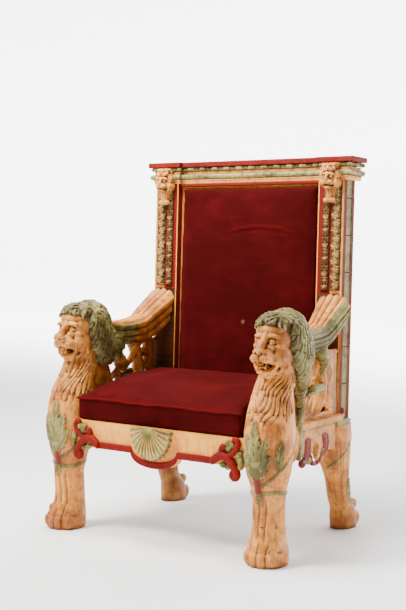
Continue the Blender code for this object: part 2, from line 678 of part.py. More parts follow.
def make_back_leg(group, cutters):
    bm = bmesh.new()
    loft(bm, [ellipse_ring(z, 0.0, y, rx, ry, BACK_LEG_SIDES) for z, y, rx, ry in BACK_LEG_BODY])
    for toe in range(3):
        across = -0.028 + 0.028 * toe
        lump(bm, (across, 0.052, 0.032), (0.016, 0.024, 0.030))
        lump(bm, (across * 0.8, 0.040, 0.088), (0.015, 0.026, 0.020))
    leg = fuse(bm, "back_leg_right", paint("peach_paint"), group, 0.0055, BACK_LEG_TRIANGLES, 2)
    leg.data.transform(Matrix.Scale((SEAT_HEIGHT + BACK_LEG_TENON) / BACK_LEG_BODY[-1][0], 4))
    rear = max(vertex.co.y for vertex in leg.data.vertices)
    leg.data.transform(Matrix.Translation((BACK_LEG_X, BACK_LINE - rear, 0)))
    top = SEAT_HEIGHT - BASE_BLOCK_HEIGHT - 2 * GAP
    cut_box(leg, (0, 0, 0), (LION_SPACING, 2 * BACK_LINE, top), cutters, keep_inside=True)
    half = SIDE_RAIL_THICKNESS / 2 + GAP
    cut_box(
        leg, (ARM_X - half, 0, RAIL_BOTTOM - SIDE_APRON_DROP),
        (ARM_X + half, SIDE_RAIL_END_Y + GAP, SEAT_HEIGHT), cutters)
    cut_box(
        leg, (0, REAR_RAIL_Y - GAP, RAIL_BOTTOM - GAP),
        (SEAT_BOARD_HALF + GAP, REAR_RAIL_Y + RAIL_THICKNESS + GAP, SEAT_HEIGHT), cutters)
    cut_box(
        leg, (0, 0, SEAT_HEIGHT - SEAT_BOARD_THICKNESS - 2 * GAP),
        (SEAT_BOARD_HALF + GAP, REAR_RAIL_Y + GAP, SEAT_HEIGHT), cutters)
    both_sides(leg, "back_leg", group)


# Back

def breakfront(projection, overhang, wave=0.0, pitch=0.02):
    """Outline of a cornice layer that steps forward over each post, seen from above."""
    outer = POST_OUTER + overhang
    step_x = POST_INNER - overhang * 0.3
    ends = -projection
    recess = BREAK_DEPTH - projection
    rear = TOP_BOARD_DEPTH - TOP_BOARD_PROJECTION
    front = []
    for left, right, level in ((-outer, -step_x, ends), (-step_x, step_x, recess), (step_x, outer, ends)):
        if wave == 0.0:
            front += [(left, level), (right, level)]
        else:
            count = max(1, round((right - left) / pitch))
            for i in range(2 * count + 1):
                x = left + (right - left) * i / (2 * count)
                front.append((x, level + (wave if i % 2 == 0 else 0.0)))
    return front + [(outer, rear), (-outer, rear)]


def make_cornice(group):
    layers = (
        ("top_board", "red_paint", BOARD_FOOT, BACK_TOP, TOP_BOARD_PROJECTION, TOP_BOARD_OVERHANG, 0.0, 0.0),
        ("bead_moulding", "green_paint", BEAD_FOOT, BEAD_TOP, 0.006, 0.028, 0.003, 0.034),
        ("frieze_board", "cream_paint", FRIEZE_FOOT, FRIEZE_TOP, -0.002, 0.016, 0.0, 0.0),
        ("leaf_torus", "green_paint", TORUS_FOOT, TORUS_TOP, 0.008, 0.028, 0.0035, 0.034),
        ("fascia_board", "cream_paint", FASCIA_FOOT, FASCIA_TOP, 0.000, 0.014, 0.0, 0.0),
    )
    for name, finish, low, high, projection, overhang, wave, pitch in layers:
        bm = bmesh.new()
        plate(bm, breakfront(projection, overhang, wave, pitch or 0.02), "Z", low, high)
        lean(make_object(bm, name, paint(finish), group))
    bm = bmesh.new()
    half = POST_INNER - GAP
    box(bm, (-half, BREAK_DEPTH - 0.006, LINTEL_FOOT), (half, POST_DEPTH, POST_TOP))
    lean(make_object(bm, "lintel", paint("red_paint"), group))


def make_posts(group, cutters):
    bm = bmesh.new()
    box(bm, (POST_INNER, 0, -POST_DEPTH), (POST_OUTER, POST_DEPTH, POST_TOP))
    post = make_object(bm, "back_post_right", paint("red_paint"), group)
    lean(post)
    cut_box(
        post, (0, 0, SEAT_HEIGHT), (LION_SPACING, 2 * BACK_LINE, 2 * OVERALL_HEIGHT),
        cutters, keep_inside=True)
    both_sides(post, "back_post", group)


def make_post_base(group, cutters):
    bm = bmesh.new()
    foot = SEAT_HEIGHT - BASE_BLOCK_HEIGHT - GAP
    block_low = (POST_INNER - BASE_BLOCK_OVERHANG, SIDE_RAIL_END_Y + GAP, foot)
    block_high = (POST_OUTER + BASE_BLOCK_OVERHANG, BACK_FOOT_Y + POST_DEPTH, SEAT_HEIGHT - GAP)
    box(bm, block_low, block_high)
    block = make_object(bm, "post_base_right", paint("green_paint"), group)
    cut_box(block, (0, 0, 0), (SEAT_BOARD_HALF + GAP, BACK_LINE, 2 * SEAT_HEIGHT), cutters)
    both_sides(block, "post_base", group)


def make_back_board(group, cutters):
    half = POST_INNER - GAP
    bm = bmesh.new()
    low = (-half, BACK_BOARD_SETBACK, -POST_DEPTH)
    box(bm, low, (half, BACK_BOARD_SETBACK + BACK_BOARD_THICKNESS, LINTEL_FOOT - GAP))
    board = make_object(bm, "back_board", paint("cream_paint"), group)
    lean(board)
    cut_box(
        board, (-LION_SPACING, 0, SEAT_HEIGHT), (LION_SPACING, 2 * BACK_LINE, 2 * OVERALL_HEIGHT),
        cutters, keep_inside=True)


def motif_outline(middle, low, high, half_width, motifs, dip, points):
    """Outline of a carved strip whose stacked leaves swell and pinch."""
    steps = motifs * points
    right = []
    left = []
    for step in range(steps + 1):
        share = step / steps
        swell = abs(math.sin(math.pi * motifs * share))
        reach = half_width * (1 - dip + dip * swell)
        z = low + (high - low) * share
        right.append((middle + reach, z))
        left.append((middle - reach, z))
    return right + left[::-1]


def make_strips(group):
    low = back_z(STRIP_FOOT)
    high = POST_TOP - 0.002
    for name, offset, half_width, motifs, dip, points in (
            ("inner_strip", 0.0365, 0.0135, 13, 0.35, 3),
            ("outer_strip", 0.0805, 0.0185, 16, 0.16, 2)):
        bm = bmesh.new()
        outline = motif_outline(POST_INNER + offset, low, high, half_width, motifs, dip, points)
        plate(bm, outline, "Y", -STRIP_DEPTH, -GAP)
        strip = make_object(bm, name + "_right", paint("green_paint"), group)
        lean(strip)
        both_sides(strip, name, group)


def make_corbel(group, cutters):
    """A small lion mask with a leaf crown, over a tapered neck that ends in a curl."""
    bm = bmesh.new()
    lump(bm, (0, 0.000, -0.022), (0.030, 0.040, 0.022))
    for leaf in (-0.022, 0.0, 0.022):
        lump(bm, (leaf, -0.030, -0.014), (0.013, 0.016, 0.016))
    lump(bm, (0, -0.004, -0.060), (0.036, 0.044, 0.036))
    lump(bm, (0, -0.036, -0.072), (0.018, 0.022, 0.018))
    lump(bm, (0, -0.040, -0.055), (0.010, 0.018, 0.018))
    for side in (-1, 1):
        lump(bm, (side * 0.028, -0.006, -0.078), (0.016, 0.026, 0.022))
        lump(bm, (side * 0.015, -0.034, -0.046), (0.012, 0.012, 0.008))
    limb(bm, ((0, -0.004, -0.080, 0.030), (0, -0.006, -0.115, 0.020), (0, -0.010, -0.140, 0.016)))
    limb(bm, ((-0.014, -0.018, -0.144, 0.011), (0.014, -0.018, -0.144, 0.011)))
    corbel = fuse(bm, "corbel_right", paint("peach_paint"), group, 0.0035, CORBEL_TRIANGLES, 2)
    width = max(vertex.co.x for vertex in corbel.data.vertices) * 2
    corbel.data.transform(Matrix.Scale(CORBEL_WIDTH / width, 4))
    corbel.data.transform(Matrix.Translation((POST_X + CORBEL_SHIFT, 0, BEAD_TOP)))
    cut_box(
        corbel, (0, -TOP_BOARD_DEPTH, 0), (LION_SPACING, -STRIP_DEPTH - GAP, BEAD_TOP),
        cutters, keep_inside=True)
    cut_box(
        corbel, (0, -TOP_BOARD_PROJECTION - GAP, TORUS_FOOT - GAP),
        (LION_SPACING, TOP_BOARD_DEPTH, BACK_TOP), cutters)
    lean(corbel)
    both_sides(corbel, "corbel", group)


# Upholstery

def padded_panel(bm, columns, rows, surface, flat_axis, flat_level):
    """Build a grid from a surface function and close it with straight sides and a flat back."""
    grid = {}
    for i in range(columns + 1):
        for j in range(rows + 1):
            grid[i, j] = bm.verts.new(surface(2 * i / columns - 1, 2 * j / rows - 1))
    for i in range(columns):
        for j in range(rows):
            bm.faces.new((grid[i, j], grid[i + 1, j], grid[i + 1, j + 1], grid[i, j + 1]))
    rim = [edge for edge in bm.edges if edge.is_boundary]
    grown = bmesh.ops.extrude_edge_only(bm, edges=rim)
    for item in grown["geom"]:
        if isinstance(item, bmesh.types.BMVert):
            item.co[flat_axis] = flat_level
    last = [item for item in grown["geom"] if isinstance(item, bmesh.types.BMEdge) and item.is_boundary]
    bmesh.ops.contextual_create(bm, geom=last)
    bmesh.ops.recalc_face_normals(bm, faces=bm.faces)


def make_seat_cushion(group, cutters):
    """A box cushion that rises to the back, with a crowned top, cut out round the lions."""
    front = FRONT_RAIL_Y + CUSHION_SETBACK
    back = BACK_FOOT_Y - CUSHION_BACK_GAP
    half = ARM_X - SHELF_WIDTH / 2 - CUSHION_CLEARANCE
    edge = SEAT_HEIGHT + CUSHION_HEIGHT

    def surface(u, v):
        rise = CUSHION_BACK_RISE * (1 - ((1 - v) / 2) ** 3)
        crown = CUSHION_CROWN * (1 - abs(u) ** 3) * (1 - abs(v) ** 3)
        return (half * u, (front + back) / 2 + (back - front) / 2 * v, edge + rise + crown)

    bm = bmesh.new()
    padded_panel(bm, 9, 8, surface, 2, SEAT_HEIGHT)
    cushion = make_object(bm, "seat_cushion", paint("velvet"), group)
    low = SEAT_HEIGHT - CUSHION_HEIGHT
    high = edge + CUSHION_BACK_RISE + CUSHION_HEIGHT
    reach = LION_HALF_WIDTH + CUSHION_CLEARANCE
    scoop_y = LION_Y + CUSHION_SCOOP_SHIFT
    scoop_back = LION_BACK_Y + CUSHION_CLEARANCE
    for side in (-1, 1):
        scoop = bmesh.new()
        x = side * (LION_X - CUSHION_SCOOP_INSET)
        outline = [(x + reach, scoop_back), (x - reach, scoop_back)]
        outline += arc((x, scoop_y), (reach, reach), 180, 360, LION_SIDES // 2)
        plate(scoop, outline, "Z", low, high)
        remove_shape(cushion, scoop, cutters)


def make_back_cushion(group):
    """A padded panel that bulges towards the sitter."""
    half = POST_INNER - BACK_CUSHION_MARGIN
    low = BACK_CUSHION_LIFT
    high = LINTEL_FOOT - BACK_CUSHION_TOP_GAP
    rear = BACK_BOARD_SETBACK - GAP

    def surface(u, v):
        bulge = BACK_CUSHION_BULGE * (1 - u ** 2) * (1 - v ** 4)
        z = (low + high) / 2 + (high - low) / 2 * v
        return (BACK_CUSHION_SHIFT + half * u, rear - BACK_CUSHION_EDGE - bulge, z)

    bm = bmesh.new()
    padded_panel(bm, 6, 8, surface, 1, rear)
    lean(make_object(bm, "back_cushion", paint("velvet"), group))


def main():
    clear_scene()
    group = new_collection("ceremonial_armchair")
    cutters = new_collection("cutters", hidden=True)
    make_lion(group, cutters)
    make_front_rail(group)
    make_shell(group)
    make_front_scroll(group, cutters)
    make_seat_board(group)
    make_rear_rail(group)
    make_side_rail(group)
    make_side_shelf(group, cutters)
    make_arm_panel(group, cutters)
    make_wing(group, cutters)
    make_back_leg(group, cutters)
    make_posts(group, cutters)
    make_post_base(group, cutters)
    make_back_board(group, cutters)
    make_cornice(group)
    make_strips(group)
    make_corbel(group, cutters)
    make_seat_cushion(group, cutters)
    make_back_cushion(group)


main()
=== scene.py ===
"""The look of the ceremonial armchair: carved, painted and upholstered pieces over the fixed solids.

Metres, +Z up. The chair faces -Y and +X is on the viewer's right. Right-hand pieces are carved
first and mirrored for the left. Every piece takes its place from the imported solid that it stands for.
"""
import math

import bmesh
import bpy
import numpy as np
from mathutils import Euler, Matrix, Vector


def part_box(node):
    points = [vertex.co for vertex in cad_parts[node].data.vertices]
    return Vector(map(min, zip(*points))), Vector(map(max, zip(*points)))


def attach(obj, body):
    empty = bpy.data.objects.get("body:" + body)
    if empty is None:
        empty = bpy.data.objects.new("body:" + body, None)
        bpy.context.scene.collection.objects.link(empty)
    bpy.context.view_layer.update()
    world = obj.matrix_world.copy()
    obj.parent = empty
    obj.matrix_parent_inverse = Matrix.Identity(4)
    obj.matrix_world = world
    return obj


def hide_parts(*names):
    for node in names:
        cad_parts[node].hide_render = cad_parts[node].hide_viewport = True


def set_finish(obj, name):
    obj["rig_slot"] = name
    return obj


bl_info = {
    "name": "Ceremonial armchair",
    "version": (1, 0, 0),
    "blender": (4, 5, 0),
    "location": "View3D > Sidebar > Armchair",
    "description": "Carved lions, wings, painted back and velvet upholstery of a ceremonial armchair",
    "category": "Object",
}

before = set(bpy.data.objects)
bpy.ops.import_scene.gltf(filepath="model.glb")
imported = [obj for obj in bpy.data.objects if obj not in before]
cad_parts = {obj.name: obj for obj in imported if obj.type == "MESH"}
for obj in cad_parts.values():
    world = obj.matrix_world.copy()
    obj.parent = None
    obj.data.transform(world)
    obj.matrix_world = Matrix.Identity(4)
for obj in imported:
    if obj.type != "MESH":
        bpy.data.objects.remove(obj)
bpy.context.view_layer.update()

# Lion: height, sideways shift, shift to the rear, half width, half depth
LION_BODY = (
    (-0.020, 0.001, -0.004, 0.064, 0.074),
    (0.018, 0.001, -0.005, 0.070, 0.079),
    (0.048, 0.000, -0.004, 0.069, 0.079),
    (0.078, -0.003, 0.002, 0.063, 0.068),
    (0.110, -0.004, 0.007, 0.059, 0.060),
    (0.150, -0.004, 0.008, 0.057, 0.058),
    (0.215, -0.003, 0.006, 0.056, 0.059),
    (0.265, -0.005, 0.009, 0.063, 0.067),
    (0.313, -0.006, 0.011, 0.075, 0.079),
    (0.391, -0.006, 0.013, 0.086, 0.089),
    (0.455, -0.006, 0.015, 0.088, 0.092),
    (0.507, -0.007, 0.022, 0.081, 0.088),
    (0.546, -0.009, 0.031, 0.074, 0.082),
    (0.600, -0.014, 0.053, 0.065, 0.074),
    (0.640, -0.012, 0.075, 0.062, 0.075),
    (0.700, -0.010, 0.085, 0.060, 0.080),
)
LION_HEAD_SHIFT = -0.009

# Triangles kept in each carved piece
FACETS = {
    "back_leg": 28000, "wing": 36000, "arm_panel": 45000, "side_rail": 22000, "front_scroll": 14000, "corbel": 22000}

# Wing: width at the front and at the tip, shift of its middle and fall of its outer edge towards the
# tip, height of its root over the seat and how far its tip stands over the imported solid
WING_FRONT = 0.052
WING_TIP = 0.130
WING_SHIFT = 0.020
WING_FALL = 0.020
WING_ROOT = 0.095
WING_RISE = 0.014

# Front rail: how far its middle hangs below its ends
RAIL_SCALLOP = 0.047

# Shell: where its fan starts and how far it spans, from the right
FAN_START = math.radians(183)
FAN_SPAN = math.radians(174)

# Back leg: height, shift to the rear, half width, half depth
BACK_LEG_BODY = (
    (-0.020, 0.010, 0.046, 0.059),
    (0.020, 0.012, 0.049, 0.063),
    (0.050, 0.010, 0.048, 0.063),
    (0.080, 0.002, 0.045, 0.055),
    (0.110, -0.020, 0.043, 0.044),
    (0.145, -0.031, 0.044, 0.045),
    (0.185, -0.036, 0.045, 0.048),
    (0.220, -0.046, 0.048, 0.058),
    (0.260, -0.055, 0.052, 0.072),
    (0.320, -0.056, 0.054, 0.080),
    (0.380, -0.050, 0.052, 0.078),
    (0.440, -0.046, 0.048, 0.072),
)


# Sizes and colours

def length(name, value, description):
    return bpy.props.FloatProperty(name=name, default=value, min=0.0, unit="LENGTH", description=description)


def share(name, value, description):
    return bpy.props.FloatProperty(name=name, default=value, description=description)


def colour(name, value, description):
    return bpy.props.FloatVectorProperty(
        name=name, default=value, size=3, min=0.0, max=1.0, subtype="COLOR", description=description)


class PaintLook(bpy.types.PropertyGroup):
    """Colours of the painted and bare wood."""

    peach: colour("Peach", (0.36, 0.105, 0.012), "Paint of the lions, wings and rails")
    peach_light: colour("Light peach", (0.80, 0.315, 0.052), "Lighter patches and worn edges of the peach paint")
    green: colour("Green", (0.100, 0.082, 0.018), "Paint of the manes, leaves and mouldings")
    green_light: colour("Light green", (0.35, 0.315, 0.095), "Worn highlights of the green paint")
    red: colour("Red", (0.15, 0.0030, 0.0015), "Paint of the scrolls, boards and borders")
    cream: colour("Cream", (0.95, 0.41, 0.055), "Paint of the front rail, fascia and fine lines")
    # This colour is used for dirt and old wood, and also for painted shade in hollows, gaps and grooves.
    grime_and_shade: colour("Grime", (0.060, 0.018, 0.005), "Dirt in the hollows and old wood in the chips")
    wood: colour("Wood", (0.075, 0.022, 0.006), "Bare, stained wood")
    chips: share("Chips", 0.5, "How much paint is chipped off, from 0 to 1")


class LionLook(bpy.types.PropertyGroup):
    """Grain and relief of the lions and legs."""

    spacing: length("Spacing", 0.92, "Distance between the middles of the two lions")
    grain: length("Grain", 0.0021, "Size of the finest carved facet")
    lock_depth: length("Lock depth", 0.0078, "Depth of the grooves between the mane's locks")
    lock_width: length("Lock width", 0.0150, "Width of one lock of the mane")
    tuft: length("Tuft", 0.052, "Length of one tuft of a lock")
    fur_depth: length("Fur depth", 0.0088, "Depth of the chest's fur")
    fur_width: length("Fur width", 0.0175, "Width of one strand of the chest's fur")
    triangles: bpy.props.IntProperty(
        name="Triangles", default=126000, min=1000, description="Triangles in one lion")
    leaf_depth: length("Leaf depth", 0.0060, "Relief of the leaf spray")
    ribbon_width: length("Ribbon width", 0.013, "Width of the ribbons round the legs")


class ArmLook(bpy.types.PropertyGroup):
    """Wings, scroll panels and side rails."""

    feather_depth: length("Feather depth", 0.012, "Depth of the grooves between the wing's feathers")
    scroll_grain: length("Scroll grain", 0.0019, "Size of the finest facet of the scrollwork")


class BackLook(bpy.types.PropertyGroup):
    """Posts, carved strips and cornice."""

    strip_relief: length("Strip relief", 0.0078, "Relief of the carved strips on the posts")
    chain_pitch: length("Chain pitch", 0.0215, "Length of one motif on the inner strips")
    foliage_pitch: length("Foliage pitch", 0.0290, "Distance between the flowers of the outer strips")
    bead_pitch: length("Bead pitch", 0.059, "Distance from bead to bead in the cornice")
    leaf_pitch: length("Leaf pitch", 0.038, "Distance from leaf to leaf on the cornice's roll")
    panel_pitch: length("Panel pitch", 0.140, "Distance between the cross lines on the posts' sides")


class VelvetLook(bpy.types.PropertyGroup):
    """Upholstery."""

    velvet: colour("Velvet", (0.036, 0.0002, 0.0004), "Deep red of the pile")
    velvet_worn: colour("Worn velvet", (0.064, 0.0012, 0.0020), "Where the pile is rubbed")
    grain: length("Grain", 0.006, "Size of a cloth facet in the simulation")
    pressure: share("Pressure", 4.0, "Air pressure in the cushions while they are simulated")
    reach: length("Reach", 0.006, "The furthest that the cloth may move")
    welt: length("Welt", 0.0036, "Radius of the piped seam")


class StageLook(bpy.types.PropertyGroup):
    """Floor, lights and camera."""

    floor: colour("Floor", (0.93, 0.93, 0.93), "Studio floor and backdrop")
    key: share("Key", 430.0, "Power of the main light in watts")
    fill: share("Fill", 12.0, "Power of the fill light in watts")
    top: share("Top", 200.0, "Power of the overhead light in watts")
    sky: share("Sky", 0.22, "Strength of the even studio light")
    backdrop: share("Backdrop", 5.0, "Glow of the paper behind the armchair")
    lens: share("Lens", 72.0, "Focal length in millimetres")


def look():
    return bpy.context.scene.armchair_look


# Arrays

def smoothstep(low, high, values):
    t = np.clip((values - low) / (high - low), 0.0, 1.0)
    return t * t * (3 - 2 * t)


def points_of(mesh):
    co = np.empty(len(mesh.vertices) * 3)
    mesh.vertices.foreach_get("co", co)
    return co.reshape(-1, 3)


def set_points(mesh, co):
    mesh.vertices.foreach_set("co", np.ascontiguousarray(co, dtype=np.float32).ravel())
    mesh.update()


def normals_of(mesh):
    normals = np.empty(len(mesh.vertices) * 3)
    mesh.vertex_normals.foreach_get("vector", normals)
    return normals.reshape(-1, 3)


def edges_of(mesh):
    ends = np.empty(len(mesh.edges) * 2, dtype=np.int64)
    mesh.edges.foreach_get("vertices", ends)
    return ends.reshape(-1, 2)


def neighbours(mesh):
    """Return a function that averages values over each vertex's neighbours."""
    ends = edges_of(mesh)
    count = len(mesh.vertices)
    first = np.concatenate((ends[:, 0], ends[:, 1]))
    other = np.concatenate((ends[:, 1], ends[:, 0]))
    degree = np.maximum(np.bincount(first, minlength=count), 1)

    def average(values):
        if values.ndim == 1:
            return np.bincount(first, weights=values[other], minlength=count) / degree
        return np.stack([average(values[:, axis]) for axis in range(values.shape[1])], axis=1)

    return average


def add_attribute(mesh, name, values):
    """Store one number for each vertex, for the materials to read."""
    layer = mesh.attributes.get(name) or mesh.attributes.new(name, "FLOAT", "POINT")
    layer.data.foreach_set("value", np.ascontiguousarray(values, dtype=np.float32))


def read_attribute(mesh, name):
    values = np.zeros(len(mesh.vertices), dtype=np.float32)
    mesh.attributes[name].data.foreach_get("value", values)
    return values


def mark_relief(mesh, rounds=2, strength=1.0):
    """Store how hollow (above 0) or raised (below 0) the surface is at each vertex."""
    average = neighbours(mesh)
    co = points_of(mesh)
    bend = ((average(co) - co) * normals_of(mesh)).sum(axis=1)
    wide = bend
    for _ in range(rounds):
        bend = average(bend)
    for _ in range(rounds * 6):
        wide = average(wide)
    ends = edges_of(mesh)
    pitch = np.median(np.linalg.norm(co[ends[:, 0]] - co[ends[:, 1]], axis=1))
    add_attribute(mesh, "relief", strength * (bend * 0.6 + wide * 1.2) / pitch)


def noise(co, scale, seed=0.0):
    """Cheap smooth noise from -1 to 1, made of turned waves."""
    total = np.zeros(len(co))
    rng = np.random.default_rng(int(seed * 1000) + 7)
    for octave in range(1, 4):
        for _ in range(3):
            direction = rng.normal(size=3)
            direction /= np.linalg.norm(direction)
            phase = rng.uniform(0, 2 * math.pi)
            warp = np.sin(co @ rng.normal(size=3) * scale * 0.7 + rng.uniform(0, 6))
            total += np.sin(co @ direction * scale * octave * 1.7 + phase + 1.5 * warp) / octave
    return total / 5.5


# Pieces

def finish_piece(piece, finish, slot, *nodes):
    """Give a piece its material and its place in the table of pieces."""
    if not piece.data.materials:
        piece.data.materials.append(finish)
    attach(piece, "root")
    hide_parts(*nodes)
    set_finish(piece, slot)
    return piece


def object_from(bm, name):
    mesh = bpy.data.meshes.new(name)
    bm.to_mesh(mesh)
    bm.free()
    piece = bpy.data.objects.new(name, mesh)
    bpy.context.scene.collection.objects.link(piece)
    return piece


def packed_form(node):
    """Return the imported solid's own mesh, with its corners joined."""
    bm = bmesh.new()
    bm.from_mesh(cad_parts[node].data)
    bmesh.ops.remove_doubles(bm, verts=bm.verts, dist=1e-5)
    bmesh.ops.recalc_face_normals(bm, faces=bm.faces)
    return bm


def shade_smooth(piece, angle=None):
    mesh = piece.data
    mesh.polygons.foreach_set("use_smooth", np.ones(len(mesh.polygons), dtype=bool))
    if angle is not None:
        bm = bmesh.new()
        bm.from_mesh(mesh)
        limit = math.radians(angle)
        for edge in bm.edges:
            edge.smooth = edge.calc_face_angle(0.0) < limit
        bm.to_mesh(mesh)
        bm.free()


def baked(piece):
    """Apply the piece's modifiers to its mesh."""
    graph = bpy.context.evaluated_depsgraph_get()
    mesh = bpy.data.meshes.new_from_object(piece.evaluated_get(graph))
    piece.modifiers.clear()
    old = piece.data
    piece.data = mesh
    bpy.data.meshes.remove(old)
    mesh.name = piece.name
    return piece


def slimmed(piece, triangles):
    """Merge the flattest facets until the piece has about so many triangles."""
    have = sum(len(face.vertices) - 2 for face in piece.data.polygons)
    if have > triangles:
        fewer = piece.modifiers.new("fewer", "DECIMATE")
        fewer.ratio = triangles / have
        baked(piece)
    return piece


def mirrored(piece, name, *nodes):
    """Carve the left-hand copy of a finished right-hand piece."""
    mesh = piece.data.copy()
    mesh.name = name
    co = points_of(mesh)
    co[:, 0] *= -1
    set_points(mesh, co)
    mesh.flip_normals()
    copy = bpy.data.objects.new(name, mesh)
    bpy.context.scene.collection.objects.link(copy)
    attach(copy, "root")
    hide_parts(*nodes)
    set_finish(copy, piece["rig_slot"])
    return copy


def both_sides(piece, name, node):
    """Finish a right-hand piece with its left-hand copy."""
    piece.name = name + "_right"
    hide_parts(node + "_right")
    return mirrored(piece, name + "_left", node + "_left")


def box(bm, low, high):
    low = Vector(low)
    size = Vector(high) - low
    place = Matrix.Translation(low + size / 2) @ Matrix.Diagonal((*size, 1.0))
    return bmesh.ops.create_cube(bm, size=1.0, matrix=place)["verts"]


def bevel(bm, width, segments=2, edges=None):
    bmesh.ops.bevel(
        bm, geom=list(edges or bm.edges), offset=width, segments=segments, profile=0.5, affect="EDGES",
        material=-1)


def grid(name, columns, rows, shape, closed=False):
    """Build a sheet of faces from shape(u, v), with u and v from 0 to 1, or a closed skin."""
    bm = bmesh.new()
    bmesh.ops.create_grid(bm, x_segments=columns, y_segments=rows, size=0.5)
    piece = object_from(bm, name)
    co = points_of(piece.data)
    u = co[:, 0] + 0.5
    v = co[:, 1] + 0.5
    set_points(piece.data, shape(u, v))
    if closed:
        bm = bmesh.new()
        bm.from_mesh(piece.data)
        bmesh.ops.remove_doubles(bm, verts=bm.verts, dist=1e-6)
        rim = [edge for edge in bm.edges if edge.is_boundary]
        bmesh.ops.holes_fill(bm, edges=rim, sides=0)
        bmesh.ops.recalc_face_normals(bm, faces=bm.faces)
        bm.to_mesh(piece.data)
        bm.free()
    return piece


class Clay:
    """Overlapping lumps that are melted into one carved form, with a colour tag for each."""

    def __init__(self):
        self.bm = bmesh.new()
        self.lumps = []
        self.rods = []

    def lump(self, centre, radii, tag="", turn=(0, 0, 0), sides=24):
        spin = Euler([math.radians(a) for a in turn]).to_matrix()
        place = Matrix.Translation(centre) @ spin.to_4x4() @ Matrix.Diagonal((*radii, 1.0))
        bmesh.ops.create_uvsphere(
            self.bm, u_segments=sides, v_segments=sides * 2 // 3, radius=1.0, matrix=place)
        self.lumps.append((np.array(centre), np.array(radii), np.array(spin), tag))

    def pair(self, centre, radii, tag="", turn=(0, 0, 0), axis=0.0):
        """Add a lump on both sides of a plane across X."""
        x, y, z = centre
        for side in (-1, 1):
            self.lump((axis + side * x, y, z), radii, tag, (turn[0], side * turn[1], side * turn[2]))

    def limb(self, path, tag="", sides=16):
        """Add a rod of changing radius through the path's points, each x, y, z, radius."""
        for start, end in zip(path, path[1:]):
            first = Vector(start[:3])
            along = Vector(end[:3]) - first
            turn = along.to_track_quat("Z", "Y").to_matrix().to_4x4()
            place = Matrix.Translation(first + along / 2) @ turn
            bmesh.ops.create_cone(
                self.bm, cap_ends=True, segments=sides, radius1=start[3], radius2=end[3],
                depth=along.length, matrix=place)
            self.rods.append((np.array(start), np.array(end), tag))
        for x, y, z, radius in path:
            bmesh.ops.create_icosphere(
                self.bm, subdivisions=2, radius=radius, matrix=Matrix.Translation((x, y, z)))

    def pair_limb(self, path, tag="", axis=0.0):
        for side in (-1, 1):
            self.limb([(axis + side * x, y, z, radius) for x, y, z, radius in path], tag)

    def rings(self, table, sides=48):
        """Close a skin over ellipse rings: z, x, y, half width, half depth."""
        rows = []
        for z, x, y, half_width, half_depth in table:
            ring = bmesh.ops.create_circle(
                self.bm, segments=sides, radius=1.0,
                matrix=Matrix.Translation((x, y, z)) @ Matrix.Diagonal((half_width, half_depth, 1.0, 1.0)))
            rows.append(ring["verts"])
        for lower, upper in zip(rows, rows[1:]):
            edges = [edge for edge in self.bm.edges if not edge.link_faces or len(edge.link_faces) == 1]
            chosen = [edge for edge in edges if set(edge.verts) <= set(lower) or set(edge.verts) <= set(upper)]
            bmesh.ops.bridge_loops(self.bm, edges=chosen)
        for row in (rows[0], rows[-1]):
            self.bm.faces.new(row)

    def plate(self, outline, axis, low, high):
        """Extrude a flat outline along an axis."""
        flat_axis = "XYZ".index(axis)
        corners = []
        for u, v in outline:
            corner = [u, v]
            corner.insert(flat_axis, low)
            corners.append(self.bm.verts.new(corner))
        grown = bmesh.ops.extrude_face_region(self.bm, geom=[self.bm.faces.new(corners)])
        for item in grown["geom"]:
            if isinstance(item, bmesh.types.BMVert):
                item.co[flat_axis] = high

    def distance(self, co, tag):
        """About how far each point is from the lumps with a tag."""
        best = np.full(len(co), 1.0)
        for centre, radii, spin, own in self.lumps:
            if own == tag:
                local = (co - centre) @ spin
                k0 = np.linalg.norm(local / radii, axis=1)
                k1 = np.linalg.norm(local / radii ** 2, axis=1)
                best = np.minimum(best, k0 * (k0 - 1) / np.maximum(k1, 1e-9))
        for start, end, own in self.rods:
            if own == tag:
                along = end[:3] - start[:3]
                t = np.clip(((co - start[:3]) @ along) / (along @ along), 0, 1)
                nearest = start[:3] + t[:, None] * along
                radius = start[3] + t * (end[3] - start[3])
                best = np.minimum(best, np.linalg.norm(co - nearest, axis=1) - radius)
        return best

    def melt(self, name, grain, smoothing=2):
        bmesh.ops.recalc_face_normals(self.bm, faces=self.bm.faces)
        piece = object_from(self.bm, name)
        melt = piece.modifiers.new("melt", "REMESH")
        melt.mode = "VOXEL"
        melt.voxel_size = grain
        soften = piece.modifiers.new("soften", "SMOOTH")
        soften.factor = 0.5
        soften.iterations = smoothing
        return baked(piece)


def tagged(distance, other, width=0.0012):
    """How far, from 0 to 1, a surface belongs to one set of lumps rather than another."""
    near = smoothstep(0.0052, 0.0030, distance)
    return near * smoothstep(-width, width, other - distance)


def leaf_relief(u, v, base, tip, width, lobes, slant=2.4):
    """Height from 0 to 1 of a lobed leaf drawn on a flat or unrolled surface, and its mask."""
    axis_u = tip[0] - base[0]
    axis_v = tip[1] - base[1]
    span = math.hypot(axis_u, axis_v)
    along = ((u - base[0]) * axis_u + (v - base[1]) * axis_v) / span ** 2
    across = ((u - base[0]) * axis_v - (v - base[1]) * axis_u) / span
    inside_length = np.clip(along, 0.0, 1.0)
    profile = width * np.sin(math.pi * inside_length ** 0.8) ** 0.65
    phase = lobes * along - slant * np.abs(across) / width
    edge = profile * (0.70 + 0.30 * np.abs(np.sin(math.pi * phase)) ** 0.7)
    mask = smoothstep(-0.0008, 0.0016, edge - np.abs(across)) * smoothstep(-0.01, 0.03, along)
    mask = mask * smoothstep(1.01, 0.97, along)
    ribs = np.abs(np.sin(math.pi * phase)) ** 0.6
    vein = np.exp(-(across / (0.06 * width + 0.0012)) ** 2)
    height = mask * (0.45 + 0.55 * ribs - 0.5 * vein)
    return height, mask


# Materials

